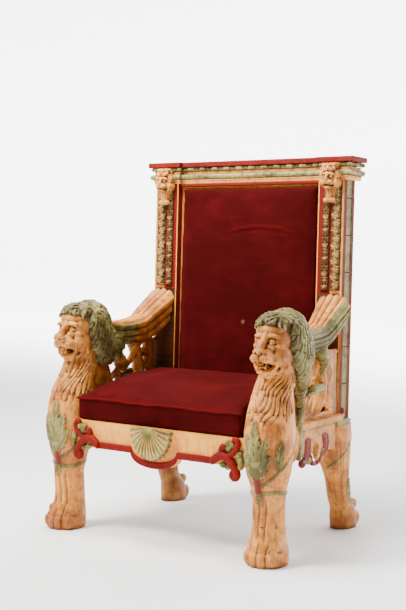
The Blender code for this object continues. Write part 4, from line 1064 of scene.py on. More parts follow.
def make_back_legs(paints):
    lion = look().lion
    low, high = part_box("back_leg_right")
    clay = Clay()
    clay.rings([(z, 0.0, y, rx, ry) for z, y, rx, ry in BACK_LEG_BODY])
    for toe in range(3):
        across = -0.029 + 0.029 * toe
        clay.lump((across, 0.052, 0.031), (0.0158, 0.024, 0.030), "body")
        clay.lump((across * 0.85, 0.040, 0.088), (0.0148, 0.025, 0.020), "body")
    piece = clay.melt("back_leg_right", lion.grain * 1.15, 2)
    mesh = piece.data
    co = points_of(mesh)
    x, y, z = co.T
    centre_y = ring_at(BACK_LEG_BODY, z, 1)
    radius = (ring_at(BACK_LEG_BODY, z, 2) + ring_at(BACK_LEG_BODY, z, 3)) / 2
    angle = np.arctan2(x, y - centre_y)
    unrolled = angle * radius
    depth = np.zeros(len(co))
    shank = smoothstep(0.10, 0.14, z) * smoothstep(0.38, 0.30, z)
    for groove in (-2.9, -2.3, -1.5, -0.6, 0.0, 0.6, 1.5, 2.3, 2.9):
        line = angle - groove - 0.06 * np.sin(z * 34 + groove)
        depth -= 0.0030 * np.exp(-(line / 0.075) ** 2) * shank
    paw = smoothstep(0.115, 0.085, z) * (y > 0.0)
    for cleft in (-0.0145, 0.0145):
        depth -= 0.0042 * np.exp(-((x - cleft) / 0.0032) ** 2) * paw
    depth += 0.0012 * noise(co, 60, 0.3)
    green = np.zeros(len(co))
    half = lion.ribbon_width / 2
    line = 0.335 - 0.045 * (angle - 1.2)
    band = smoothstep(half + 0.001, half - 0.001, np.abs(z - line)) * (z > 0.20)
    depth += 0.0022 * band
    green = np.maximum(green, band)
    height, mask = leaf_relief(unrolled, z, (0.064, 0.200), (0.050, 0.086), 0.024, 4.0)
    depth += 0.0036 * height
    green = np.maximum(green, mask)
    co = co + normals_of(mesh) * depth[:, None]
    dark = 0.75 * smoothstep(0.018, 0.004, z)
    dark = np.maximum(dark, 0.35 * smoothstep(0.40, 0.0, z) * (0.5 + 0.5 * noise(co, 45, 0.7)))
    add_attribute(mesh, "green", green)
    add_attribute(mesh, "dark", dark)
    top = BACK_LEG_BODY[-1][0]
    scale = (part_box("back_post_right")[0].z + 0.010) / top
    co *= scale
    middle = (low.x + high.x) / 2
    co += np.array((middle - (co[:, 0].max() + co[:, 0].min()) / 2, high.y - co[:, 1].max(), 0.0))
    co[:, 2] = np.clip(co[:, 2], 0.0, high.z)
    set_points(mesh, co)
    mark_relief(mesh, 2)
    slimmed(piece, FACETS["back_leg"])
    mesh = piece.data
    shade_smooth(piece)
    finish_piece(piece, paints["peach_paint"], "peach_paint")
    left = both_sides(piece, "back_leg", "back_leg")
    # The left leg is made darker all over: partly dirt, partly painted shade.
    add_attribute(left.data, "dark", np.minimum(1.0, read_attribute(mesh, "dark") * 0.6 + 0.5))


# Wings

def wing_top(v, seat, tip):
    """Height of the wing's upper edge."""
    root = seat + WING_ROOT
    return root + (tip - root) * (v ** 3 + 0.12 * np.sin(math.pi * np.clip((v - 0.55) / 0.45, 0, 1)))


def wing_plan(v, arm_x):
    """Half the wing's width, and the x of its middle."""
    return (WING_FRONT + (WING_TIP - WING_FRONT) * v ** 1.3) / 2, arm_x - WING_SHIFT * v ** 1.5


def wing_shape(front, back, arm_x, seat, tip):
    """Return the function from (u round, v along) to a point of the wing.

    Round the wing, u runs over the feathered top, down the outer flank, under and up the inner flank.
    """
    arm = look().arm

    def shape(u, v):
        y = front + v * (back - front)
        top = wing_top(v, seat, tip)
        bottom = seat + 0.075 * np.maximum(0.0, (v - 0.55) / 0.45) ** 1.6
        half, middle = wing_plan(v, arm_x)
        low_out = bottom + 0.3 * (top - bottom) * v
        x = np.zeros_like(u)
        z = np.zeros_like(u)
        over = u < 0.42
        s = np.clip(u / 0.42, 0, 1)
        ridge = np.abs(np.sin(math.pi * 4 * s)) ** 0.62
        groove_end = smoothstep(0.0, 0.25, v)
        crown = arm.feather_depth * (ridge - 1.0) * (0.35 + 0.65 * groove_end)
        slope = WING_FALL * v * (s - 0.45) ** 2 * 4
        vein = 0.0008 * np.sin(v * 160 + s * 30) * ridge
        x[over] = (middle - half + 2 * half * s)[over]
        z[over] = (top - slope - 0.002 + crown + vein)[over]
        out = (u >= 0.42) & (u < 0.66)
        s = np.clip((u - 0.42) / 0.24, 0, 1)
        edge_z = top - WING_FALL * v * 0.3025 * 4 - 0.002 - arm.feather_depth * (0.35 + 0.65 * groove_end)
        ribs = np.abs(np.sin(math.pi * 4 * s)) ** 0.6
        barbs = 0.0007 * np.sin(v * 230 - s * 24)
        belly = np.sin(math.pi * s) * 0.012
        quills = (0.0085 * (ribs - 0.6) + barbs) * (0.3 + 0.7 * groove_end)
        x[out] = (middle + half * (1.0 - 0.2 * s) + belly + quills)[out]
        z[out] = (edge_z + (low_out - edge_z) * s)[out]
        under = (u >= 0.66) & (u < 0.76)
        s = np.clip((u - 0.66) / 0.10, 0, 1)
        x[under] = (middle + half * (0.80 - 1.40 * s))[under]
        z[under] = (low_out + (bottom - low_out) * smoothstep(0, 0.6, s))[under]
        inner = u >= 0.76
        s = np.clip((u - 0.76) / 0.24, 0, 1)
        ridge = np.abs(np.sin(math.pi * 3 * s)) ** 0.6
        inner_top = top - WING_FALL * v * 0.2025 * 4 - 0.002 - arm.feather_depth * (0.35 + 0.65 * groove_end)
        x[inner] = (middle - half * (0.60 + 0.40 * s) - 0.0095 * (ridge * (0.3 + 0.7 * groove_end)))[inner]
        z[inner] = (bottom + (inner_top - bottom) * s)[inner]
        return np.stack((x, y, z), axis=1)

    return shape


def make_wings(paints):
    low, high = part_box("wing_right")
    post_low, post_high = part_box("side_shelf_right")
    arm_x = (post_low.x + post_high.x) / 2
    seat = low.z
    tip = high.z + WING_RISE
    shape = wing_shape(low.y, high.y + 0.004, arm_x, seat, tip)
    piece = grid("wing_right", 210, 150, shape, closed=True)
    mesh = piece.data
    co = points_of(mesh)
    v = (co[:, 1] - low.y) / (high.y - low.y)
    along = np.clip(v, 0, 1)
    half, middle = wing_plan(along, arm_x)
    outward = co[:, 0] - middle - half * 0.72
    green = smoothstep(-0.002, 0.004, outward) * smoothstep(1.02, 0.96, v)
    root = smoothstep(0.46, 0.38, v + 0.05 * np.sin(co[:, 2] * 260)) * (co[:, 0] < middle)
    green = np.maximum(green, root * smoothstep(0.014, 0.022, wing_top(along, seat, tip) - co[:, 2]))
    bm = bmesh.new()
    bm.from_mesh(mesh)
    bmesh.ops.smooth_vert(bm, verts=bm.verts, factor=0.35, use_axis_x=True, use_axis_y=True, use_axis_z=True)
    bm.to_mesh(mesh)
    bm.free()
    co = points_of(mesh)
    co += normals_of(mesh) * (0.0008 * noise(co, 85, 0.2))[:, None]
    set_points(mesh, co)
    add_attribute(mesh, "green", green)
    add_attribute(mesh, "dark", 0.5 * smoothstep(0.985, 1.0, v))
    mark_relief(mesh, 2, 1.3)
    slimmed(piece, FACETS["wing"])
    shade_smooth(piece)
    finish_piece(piece, paints["peach_paint"], "peach_paint")
    both_sides(piece, "wing", "wing")


# Arm panels and side rails

def spiral(centre, start_radius, end_radius, start, turns, thickness, steps=18):
    """Points of a flat coil in the YZ plane, at one x, with its rod radius tapering inward."""
    x, y, z = centre
    path = []
    for i in range(steps + 1):
        t = i / steps
        angle = math.radians(start) + turns * 2 * math.pi * t
        radius = start_radius + (end_radius - start_radius) * t
        path.append((x, y + radius * math.cos(angle), z + radius * math.sin(angle), thickness * (1 - 0.35 * t)))
    return path


def make_arm_panels(paints):
    arm = look().arm
    low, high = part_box("arm_panel_right")
    x = (low.x + high.x) / 2
    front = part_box("lion_leg_right")[1].y
    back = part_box("post_base_right")[0].y + 0.025
    foot = low.z
    rise = high.z - foot

    def spot(along, up, radius, shift=0.0):
        return (x + shift, front + along * (back - front), foot + up * rise, radius)

    clay = Clay()
    clay.limb((spot(0.04, 0.03, 0.012), spot(0.015, 0.27, 0.012), spot(0.07, 0.43, 0.013), spot(0.20, 0.54, 0.013),
               spot(0.28, 0.66, 0.013)))
    clay.limb((spot(0.215, 0.443, 0.009), spot(0.16, 0.272, 0.009), spot(0.20, 0.10, 0.009),
               spot(0.277, 0.024, 0.010)))
    clay.lump(spot(0.268, 0.692, 0)[:3], (0.020, 0.035, 0.034))
    clay.limb(spiral(spot(0.268, 0.692, 0)[:3], 0.024, 0.004, 200, 1.5, 0.0105, 22))
    clay.limb((spot(0.31, 0.55, 0.014), spot(0.45, 0.666, 0.013), spot(0.575, 0.829, 0.015), spot(0.654, 1.0, 0.018)))
    clay.limb((spot(0.20, 0.85, 0.015), spot(0.136, 1.04, 0.018)))
    clay.limb((spot(0.607, 0.807, 0.022), spot(0.644, 0.572, 0.026), spot(0.622, 0.358, 0.028),
               spot(0.544, 0.165, 0.022), spot(0.456, 0.036, 0.011)))
    clay.limb(spiral(spot(0.734, 0.666, 0)[:3], 0.041, 0.012, 100, -1.7, 0.0130, 32))
    board = [spot(along, up, 0)[1:3] for along, up in ((0.80, 0.0), (0.985, 0.0), (0.985, 1.0), (0.76, 1.0))]
    clay.plate(board, "X", x - 0.009, x + 0.009)
    clay.limb((spot(0.62, 0.30, 0.010), spot(0.80, 0.14, 0.010), spot(0.95, 0.10, 0.010)))
    clay.limb((spot(0.0, 0.03, 0.010), spot(1.0, 0.03, 0.010)))
    clay.limb((spot(0.0, 1.0, 0.010), spot(1.0, 1.0, 0.010)))
    clay.limb((spot(0.335, 0.05, 0.011), spot(0.400, 0.10, 0.009), spot(0.45, 0.04, 0.009)))
    for base, tip, lean in ((0.24, 0.30, 0.02), (0.30, 0.40, 0.05), (0.36, 0.33, 0.08)):
        clay.limb((spot(base, 0.03, 0.0075), spot(base + 0.3 * lean, 0.5 * tip, 0.0085),
                   spot(base + lean, tip, 0.0060)))
    clay.limb(spiral(spot(0.10, 0.74, 0, 0.010)[:3], 0.021, 0.005, 90, 1.4, 0.0095, 18))
    clay.limb(spiral(spot(0.36, 0.60, 0, 0.012)[:3], 0.017, 0.004, 220, -1.3, 0.0080, 16))
    outer = x + 0.018
    clay.limb(((outer, front + 0.078, foot + 0.096, 0.009), (outer + 0.002, front + 0.112, foot + 0.110, 0.0155),
               (outer + 0.002, front + 0.160, foot + 0.114, 0.0160),
               (outer, front + 0.200, foot + 0.106, 0.0090)), "green")
    clay.limb(((x + 0.012, front + 0.118, foot + 0.282, 0.022), (x + 0.020, front + 0.158, foot + 0.258, 0.026),
               (x + 0.022, front + 0.184, foot + 0.226, 0.021), (x + 0.020, front + 0.190, foot + 0.192, 0.014),
               (x + 0.017, front + 0.178, foot + 0.164, 0.008)), "green")
    clay.lump((x - 0.014, front + 0.043, foot + 0.238), (0.018, 0.043, 0.060), "green", (-10, 0, 0))
    for lobe_y, lobe_z in ((0.072, 0.290), (0.084, 0.262), (0.080, 0.226), (0.062, 0.196), (0.040, 0.182)):
        clay.lump((x - 0.014, front + lobe_y, foot + lobe_z), (0.013, 0.016, 0.018), "green")
    piece = clay.melt("arm_panel_right", arm.scroll_grain, 3)
    mesh = piece.data
    co = points_of(mesh)
    d_green = clay.distance(co, "green")
    d_plain = clay.distance(co, "")
    green = tagged(d_green, d_plain)
    best = np.full(len(co), 1.0)
    for start, end, tag in clay.rods:
        if tag == "":
            line = end[:3] - start[:3]
            flat = co - start[:3]
            t = np.clip((flat @ line) / (line @ line), 0, 1)
            nearest = start[:3] + t[:, None] * line
            gap = np.hypot(co[:, 1] - nearest[:, 1], co[:, 2] - nearest[:, 2])
            radius = start[3] + t * (end[3] - start[3])
            best = np.minimum(best, gap / radius)
    normals = normals_of(mesh)
    sideways = np.abs(normals[:, 0])
    groove = -0.0022 * np.exp(-((best - 0.42) / 0.13) ** 2) * (1 - green) * smoothstep(0.5, 0.8, sideways)
    dy = co[:, 1] - (front + 0.004)
    dz = co[:, 2] - (foot + 0.262)
    fan = np.arctan2(dz, dy)
    reach = np.hypot(dz, dy)
    fluting = np.where(co[:, 0] < x, fan * 5.5 + 20 * reach, np.where(
        co[:, 2] > foot + 0.140, (dy - 0.35 * dz) * 360, (co[:, 2] - 0.10 * dy) * 420))
    flute = 0.0042 * (np.abs(np.sin(fluting)) ** 0.6 - 0.6) * green
    co = co + normals * (groove + flute + 0.0007 * noise(co, 90, 0.4))[:, None]
    half = (high.x - low.x) / 2 + 0.006
    keep_flat = co[:, 2] < high.z
    limit = np.where(keep_flat, half, half + 0.010)
    co[:, 0] = np.clip(co[:, 0], x - limit - 0.012 * green, x + limit + 0.012 * green)
    co[:, 2] = np.maximum(co[:, 2], foot)
    co[:, 1] = np.clip(co[:, 1], front - 0.040 * green, back + (co[:, 2] - foot) * 0.045 + 0.020)
    set_points(mesh, co)
    add_attribute(mesh, "green", green)
    berry = np.array((x + 0.02, front + 0.004, foot + 0.175))
    add_attribute(mesh, "red", smoothstep(0.010, 0.007, np.linalg.norm(co - berry, axis=1)))
    shade = smoothstep(0.86, 0.93, (co[:, 1] - front) / (back - front)) * (1 - green)
    add_attribute(mesh, "dark", np.maximum(0.45 * shade, 0.35 * (best < 0.20) * (1 - green)))
    mark_relief(mesh, 2, 1.3)
    slimmed(piece, FACETS["arm_panel"])
    shade_smooth(piece)
    finish_piece(piece, paints["peach_paint"], "peach_paint")
    both_sides(piece, "arm_panel", "arm_panel")


def depth_in_outline(y, z, outline):
    """Return how far inside a flat outline each point lies, and less than zero outside it."""
    inside = np.zeros(len(y), dtype=bool)
    nearest = np.full(len(y), 1.0)
    for (y0, z0), (y1, z1) in zip(outline, outline[1:] + outline[:1]):
        dy, dz = y1 - y0, z1 - z0
        crossing = y0 + (z - z0) * dy / (dz if abs(dz) > 1e-9 else 1e-9)
        inside ^= ((z0 > z) != (z1 > z)) & (y < crossing)
        t = np.clip(((y - y0) * dy + (z - z0) * dz) / (dy * dy + dz * dz), 0, 1)
        nearest = np.minimum(nearest, np.hypot(y - y0 - t * dy, z - z0 - t * dz))
    return np.where(inside, nearest, -nearest)


def make_side_rails(paints):
    arm = look().arm
    low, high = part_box("side_rail_right")
    x = (low.x + high.x) / 2
    half = (high.x - low.x) / 2
    start, end, top, foot = low.y, high.y, high.z, low.z
    run = end - start
    belly = foot + 0.034
    clay = Clay()
    clay.plate(
        [(start, top), (start, belly), (start + 0.07, belly + 0.006), (end - 0.07, belly + 0.006), (end, belly),
         (end, top)], "X", x - half + 0.003, x + half - 0.004)
    face = x + half - 0.006
    near = start + run * 0.5 - 0.066
    far = start + run * 0.5 + 0.064
    scrolls = (
        [(near - 0.014, top - 0.040), (near + 0.006, top - 0.034), (near + 0.024, top - 0.042),
         (near + 0.022, top - 0.066), (near + 0.018, top - 0.096), (near + 0.006, foot + 0.026),
         (near - 0.014, foot + 0.020), (near - 0.022, foot + 0.040), (near - 0.018, top - 0.080)],
        [(far - 0.026, top - 0.036), (far - 0.004, top - 0.030), (far + 0.018, top - 0.040),
         (far + 0.024, top - 0.070), (far + 0.020, top - 0.096), (far + 0.004, foot + 0.030),
         (far - 0.026, foot + 0.022), (far - 0.036, foot + 0.036), (far - 0.020, foot + 0.046),
         (far - 0.014, top - 0.090), (far - 0.018, top - 0.060)])
    for outline in scrolls:
        clay.plate(outline, "X", face - 0.010, face + 0.0055)
    clay.lump((face - 0.004, near - 0.024, foot + 0.014), (0.012, 0.022, 0.017), "red")
    clay.limb(((face + 0.001, far - 0.010, foot + 0.040, 0.006),
               (face + 0.001, far - 0.024, foot + 0.046, 0.0075)), "green")
    middle = start + run * 0.50
    clay.lump((face + 0.002, middle, foot + 0.046), (0.015, 0.017, 0.034), "oval")
    for side in (-1, 1):
        clay.limb(((face - 0.004, middle + side * 0.034, foot + 0.030, 0.009),
                   (face - 0.004, middle + side * 0.026, foot + 0.006, 0.009),
                   (face - 0.004, middle + side * 0.008, foot + 0.001, 0.009)), "red")
        clay.lump((face - 0.004, middle + side * 0.046, foot + 0.018), (0.009, 0.012, 0.016), "green",
                  (side * 30, 0, 0))
    piece = clay.melt("side_rail_right", arm.scroll_grain, 2)
    mesh = piece.data
    co = points_of(mesh)
    marks = {tag: clay.distance(co, tag) for tag in ("red", "green", "oval")}
    red = smoothstep(0.0035, 0.001, marks["red"]) * (co[:, 0] > x)
    red *= smoothstep(-0.001, 0.001, np.minimum(marks["oval"], marks["green"]) - marks["red"])
    inner = np.maximum(*(depth_in_outline(co[:, 1], co[:, 2], outline) for outline in scrolls))
    red = np.maximum(red, smoothstep(-0.0020, 0.0, inner) * (co[:, 0] > face + 0.0012))
    green = smoothstep(0.003, 0.001, marks["green"]) * (marks["green"] < marks["red"]) * (co[:, 0] > x)
    edge = smoothstep(0.012, 0.009, top - co[:, 2]) * (co[:, 0] > x)
    field = smoothstep(0.088, 0.094, middle - co[:, 1]) * (co[:, 0] > x) * (co[:, 2] < top - 0.006)
    edge = np.maximum(edge, field)
    oval = marks["oval"]
    ring = np.hypot((co[:, 1] - middle) / 0.011, (co[:, 2] - foot - 0.052) / 0.026)
    depth = -0.0022 * np.exp(-((ring - 1.0) / 0.16) ** 2) * (oval < 0.003) + 0.0006 * noise(co, 80, 0.9)
    depth -= 0.0020 * np.exp(-((inner - 0.0075) / 0.0018) ** 2) * (co[:, 0] > x)
    co += normals_of(mesh) * depth[:, None]
    co[:, 0] = np.clip(co[:, 0], x - half, x + half + 0.008)
    co[:, 1] = np.clip(co[:, 1], start, end)
    set_points(mesh, co)
    add_attribute(mesh, "red", red)
    add_attribute(mesh, "green", np.maximum(green, edge) * (1 - red))
    add_attribute(mesh, "dark", 0.55 * np.exp(-((red - 0.5) / 0.35) ** 2) * (co[:, 0] > x))
    mark_relief(mesh, 2, 1.3)
    slimmed(piece, FACETS["side_rail"])
    shade_smooth(piece)
    finish_piece(piece, paints["peach_paint"], "peach_paint")
    both_sides(piece, "side_rail", "side_rail")


def make_side_shelves(paints):
    rail_low, rail_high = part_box("side_rail_right")
    low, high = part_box("side_shelf_right")
    bm = bmesh.new()
    verts = box(bm, low, high)
    lower = [vert for vert in verts if vert.co.z < low.z + 0.001 and vert.co.x > (rail_low.x + rail_high.x) / 2]
    bmesh.ops.translate(bm, verts=lower, vec=(-0.010, 0, 0))
    long_edges = [edge for edge in bm.edges if abs(edge.verts[0].co.y - edge.verts[1].co.y) > 0.1]
    bmesh.ops.subdivide_edges(bm, edges=long_edges, cuts=24)
    bevel(bm, 0.004, 3, [edge for edge in bm.edges if edge.calc_face_angle(0.0) > 0.6])
    shelf = object_from(bm, "side_shelf_right")
    wobble(shelf, 0.0008)
    shade_smooth(shelf, 35)
    finish_piece(shelf, paints["peach_paint"], "peach_paint")
    both_sides(shelf, "side_shelf", "side_shelf")


def wobble(piece, depth, scale=30.0, seed=0.1):
    """Take the machine-made straightness out of a hand-cut board."""
    co = points_of(piece.data)
    shift = np.stack([noise(co, scale, seed + axis) for axis in (0.0, 0.31, 0.62)], axis=1)
    set_points(piece.data, co + shift * depth)


# Front rail

def make_front_rail(paints):
    low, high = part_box("front_rail")
    trim_low, trim_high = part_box("front_rail_moulding")
    drop = trim_low.z
    bottom = drop + RAIL_SCALLOP
    height = 0.025

    def edge_z(x):
        reach = np.clip(np.abs(x) / 0.105, 0.0, 1.0)
        return bottom - RAIL_SCALLOP * np.sqrt(np.maximum(0.0, 1.0 - reach ** 2.2))

    def board(u, v):
        x = low.x + (high.x - low.x) * u
        foot = edge_z(x)
        z = foot + (high.z - foot) * np.clip(v * 1.12 - 0.06, 0, 1)
        y = np.where((v < 0.03) | (v > 0.97), high.y, low.y)
        return np.stack((x, y, z), axis=1)

    piece = grid("front_rail", 240, 34, board, closed=True)
    wobble(piece, 0.0005)
    shade_smooth(piece, 40)
    finish_piece(piece, paints["cream_paint"], "cream_paint", "front_rail")

    depth = trim_high.y - trim_low.y

    def trim(u, v):
        x = trim_low.x + (trim_high.x - trim_low.x) * v
        turn = 2 * math.pi * u
        foot = edge_z(x)
        squared = np.sign(np.cos(turn)) * np.abs(np.cos(turn)) ** 0.55
        across = foot + height / 2 + height / 2 * squared
        out = trim_high.y - depth / 2 - depth / 2 * np.sign(np.sin(turn)) * np.abs(np.sin(turn)) ** 0.55
        lip = 0.0018 * (np.sin(turn) > 0) * np.exp(-((squared + 0.05) / 0.10) ** 2)
        return np.stack((x, out + lip, across), axis=1)

    moulding = grid("front_rail_moulding", 40, 200, trim, closed=True)
    wobble(moulding, 0.0005)
    shade_smooth(moulding)
    mark_relief(moulding.data, 1)
    finish_piece(moulding, paints["red_paint"], "red_paint", "front_rail_moulding")


def make_shell(paints):
    """A fan of hollow flutes with round ends, darker at the rim and pale along the ridges."""
    low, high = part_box("front_shell")
    hinge = high.z + 0.010
    rear = high.y
    radius = (high.x - low.x) / 2
    drop = hinge - low.z
    flutes = 15
    depth = rear - low.y

    def shape(u, v):
        turn = FAN_START + FAN_SPAN * u
        side = np.abs(np.cos(math.pi * flutes * u))
        scallop = 0.93 + 0.07 * np.sqrt(np.clip(1 - np.cos(math.pi * flutes * u) ** 2, 0, 1))
        reach = np.clip(v, 0.0, 0.94) / 0.94
        r = reach * scallop
        x = r * radius * np.cos(turn)
        z = hinge + r * drop * np.sin(turn)
        dome = depth * (0.55 + 0.45 * np.sin(math.pi * np.clip(reach * 0.78 + 0.12, 0, 1)))
        flute = 0.0046 * (1 - side) * smoothstep(0.05, 0.5, reach)
        y = rear - dome + flute - 0.0015
        y = np.where(v > 0.94, rear - dome * np.clip((1 - v) / 0.06, 0, 1), y)
        return np.stack((x, y, z), axis=1)

    piece = grid("front_shell", 300, 46, shape, closed=True)
    mesh = piece.data
    co = points_of(mesh)
    turn = np.arctan2((co[:, 2] - hinge) / drop, co[:, 0] / radius)
    u = (np.mod(turn, 2 * math.pi) - FAN_START) / FAN_SPAN
    ridge = np.abs(np.cos(math.pi * flutes * u)) ** 6
    reach = np.hypot(co[:, 0] / radius, (co[:, 2] - hinge) / drop)
    add_attribute(mesh, "cream", 0.55 * ridge * smoothstep(0.15, 0.5, reach) * smoothstep(1.0, 0.9, reach))
    add_attribute(mesh, "dark", 0.7 * smoothstep(0.93, 1.0, reach))
    mark_relief(mesh, 1)
    shade_smooth(piece, 50)
    finish_piece(piece, paints["green_paint"], "green_paint", "front_shell")


def make_front_scrolls(paints):
    low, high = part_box("front_scroll_right")
    trim_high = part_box("front_rail_moulding")[1]
    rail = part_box("front_rail")[0]
    y = rail.y - 0.007
    x0 = trim_high.x
    z0 = rail.z + RAIL_SCALLOP
    unit = 0.10

    def spot(across, up, radius):
        return (x0 + across * unit, y, z0 + up * unit, radius * unit)

    clay = Clay()
    clay.limb((spot(0.00, 0.12, 0.14), spot(0.14, 0.24, 0.15), spot(0.30, 0.34, 0.155), spot(0.48, 0.35, 0.16),
               spot(0.66, 0.26, 0.16), spot(0.84, 0.09, 0.155), spot(0.99, -0.12, 0.145),
               spot(1.05, -0.26, 0.130)), "red")
    clay.limb([spot(0.93 + 0.135 * math.cos(a), -0.28 + 0.135 * math.sin(a), 0.100)
               for a in [math.radians(20 - 40 * i) for i in range(8)]], "red")
    clay.lump(spot(0.93, -0.29, 0)[:3], (0.007, 0.011, 0.007), "red")
    clay.limb((spot(0.66, 0.34, 0.110), spot(0.86, 0.48, 0.108), spot(1.02, 0.64, 0.105), spot(1.08, 0.80, 0.102),
               spot(1.03, 0.95, 0.098), spot(0.92, 0.97, 0.090), spot(0.88, 0.88, 0.080)), "red")
    clay.limb((spot(0.40, 0.42, 0.110), spot(0.36, 0.54, 0.105), spot(0.42, 0.66, 0.110),
               spot(0.51, 0.62, 0.090)), "red")
    for across, up, wide, tall, turn in (
            (0.70, 0.64, 0.13, 0.10, 30), (0.83, 0.76, 0.13, 0.11, 40), (0.66, 0.80, 0.12, 0.10, 10),
            (1.12, 0.42, 0.12, 0.15, -20), (1.19, 0.25, 0.12, 0.15, -10), (1.18, 0.05, 0.10, 0.13, 0),
            (0.46, 0.02, 0.16, 0.09, -10), (0.66, -0.03, 0.12, 0.09, 10)):
        clay.lump(spot(across, up, 0)[:3], (wide * unit, 0.010, tall * unit), "green", (0, -turn, 0))
    piece = clay.melt("front_scroll_right", 0.0014, 2)
    mesh = piece.data
    co = points_of(mesh)
    d_red = clay.distance(co, "red")
    d_green = clay.distance(co, "green")
    green = smoothstep(0.0045, 0.002, d_green) * smoothstep(-0.0006, 0.0006, d_red - d_green)
    radial = np.abs(np.sin(co[:, 0] * 700 + co[:, 2] * 420)) ** 0.6
    co += normals_of(mesh) * (0.0020 * (radial - 0.5) * green + 0.0004 * noise(co, 120, 0.5))[:, None]
    co[:, 1] = np.clip(co[:, 1], low.y - 0.002, rail.y)
    co[:, 0] = np.clip(co[:, 0], x0 - 0.006, high.x + 0.016)
    co[:, 2] = np.minimum(co[:, 2], high.z + 0.002)
    set_points(mesh, co)
    add_attribute(mesh, "green", green)
    mark_relief(mesh, 2, 1.3)
    slimmed(piece, FACETS["front_scroll"])
    shade_smooth(piece)
    finish_piece(piece, paints["red_paint"], "red_paint")
    both_sides(piece, "front_scroll", "front_scroll")


# Back

RAKE = math.radians(2.5)
POST_PANEL = (0.021, 0.063)


def leaning(points, foot_y, foot_z):
    """Turn points of the upright back into the leaning back's place."""
    x, y, z = points.T
    c, s = math.cos(RAKE), math.sin(RAKE)
    return np.stack((x, foot_y + y * c + z * s, foot_z + z * c - y * s), axis=1)


def back_foot():
    """Where the back's front face meets the seat's height."""
    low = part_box("back_post_right")[0]
    return low.y, low.z


def back_length(height, depth=0.0):
    foot_y, foot_z = back_foot()
    return (height - foot_z + depth * math.sin(RAKE)) / math.cos(RAKE)


def lean_back(bm):
    """Turn a mesh that is modelled upright into the leaning back's place."""
    foot_y, foot_z = back_foot()
    for vert in bm.verts:
        vert.co = leaning(np.array([vert.co]), foot_y, foot_z)[0]


def cut(bm, place, normal):
    """Add edges where a plane crosses the mesh."""
    bmesh.ops.bisect_plane(
        bm, geom=bm.verts[:] + bm.edges[:] + bm.faces[:], plane_co=place, plane_no=normal)


def make_posts(paints):
    back = look().back
    foot_y, foot_z = back_foot()
    low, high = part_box("back_post_right")
    inner, outer = low.x, high.x
    depth = 0.08
    top = back_length(high.z, depth)
    bands = (
        (0.0, 0.0045, "cream_paint", 0.0), (0.0045, 0.021, "red_paint", 0.002), (0.021, 0.052, "red_paint", 0.006),
        (0.052, 0.060, "red_paint", 0.002), (0.060, 0.103, "cream_paint", 0.006), (0.103, 0.112, "cream_paint", 0.0))
    bm = bmesh.new()
    box(bm, (inner, 0.0, 0.0), (outer, depth, top))
    xs = sorted({band[0] for band in bands} | {0.112})
    for x in xs[1:-1]:
        cut(bm, (inner + x, 0, 0), (1, 0, 0))
    strip_foot = back_length(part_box("outer_strip_right")[0].z) - 0.010
    cut(bm, (0, 0, strip_foot), (0, 0, 1))
    for y in POST_PANEL:
        cut(bm, (0, y, 0), (0, 1, 0))
    names = ["red_paint", "cream_paint", "peach_paint", "green_paint", "bare_wood"]
    for face in bm.faces:
        centre = face.calc_center_median()
        finish = 4
        if face.normal.y < -0.5:
            for start, end, name, sink in bands:
                if start <= centre.x - inner <= end:
                    finish = names.index(name)
            if centre.z < strip_foot:
                finish = 4 if 0.012 < centre.x - inner < 0.099 else finish
        elif face.normal.x > 0.5:
            finish = 3 if POST_PANEL[0] < centre.y < POST_PANEL[1] else 0
        elif face.normal.x < -0.5:
            finish = 0
        face.material_index = finish
    for start, end, name, sink in bands:
        if sink:
            chosen = [
                face for face in bm.faces
                if face.normal.y < -0.5 and start <= face.calc_center_median().x - inner <= end
                and face.calc_center_median().z > strip_foot]
            bmesh.ops.inset_region(bm, faces=chosen, thickness=0.0012, depth=-sink * 0.5)
    panel = [
        face for face in bm.faces
        if face.normal.x > 0.5 and POST_PANEL[0] < face.calc_center_median().y < POST_PANEL[1]]
    bmesh.ops.inset_region(bm, faces=panel, thickness=0.002, depth=-0.003)
    upright = [edge for edge in bm.edges if abs(edge.verts[0].co.z - edge.verts[1].co.z) > 0.2]
    bmesh.ops.subdivide_edges(bm, edges=upright, cuts=40, use_grid_fill=True)
    lean_back(bm)
    for vert in bm.verts:
        vert.co.z = max(vert.co.z, low.z)
    bmesh.ops.recalc_face_normals(bm, faces=bm.faces)
    piece = object_from(bm, "back_post_right")
    for name in names:
        piece.data.materials.append(paints[name])
    mesh = piece.data
    wobble(piece, 0.0004, 24)
    # Painted shade: the posts' outer side faces are made darker.
    add_attribute(mesh, "dark", 0.38 * (points_of(mesh)[:, 0] > outer - 0.005))
    shade_smooth(piece, 30)
    finish_piece(piece, paints["red_paint"], "red_paint")
    both_sides(piece, "back_post", "back_post")
    rows = int((top - 0.06) / back.panel_pitch) + 1
    bm = bmesh.new()
    for row in range(rows):
        z = 0.135 + row * back.panel_pitch
        if z < top - 0.02:
            box(bm, (outer - 0.004, 0.023, z - 0.0026), (outer - 0.0016, 0.061, z + 0.0026))
    lean_back(bm)
    lines = object_from(bm, "panel_lines_right")
    add_attribute(lines.data, "dark", np.full(len(lines.data.vertices), 0.8))
    finish_piece(lines, paints["red_paint"], "red_paint")
    mirrored(lines, "panel_lines_left")
    boss = Clay()
    place = leaning(np.array([(outer - 0.001, 0.030, 0.030)]), foot_y, foot_z)[0]
    for petal in range(6):
        a = petal * math.pi / 3
        boss.lump((place[0], place[1] + 0.009 * math.cos(a), place[2] + 0.009 * math.sin(a)), (0.005, 0.0065, 0.0065))
    boss.lump(tuple(place), (0.007, 0.005, 0.005))
    rosette = boss.melt("post_rosette_right", 0.0012, 1)
    mark_relief(rosette.data, 1)
    shade_smooth(rosette)
    finish_piece(rosette, paints["red_paint"], "red_paint")
    mirrored(rosette, "post_rosette_left")


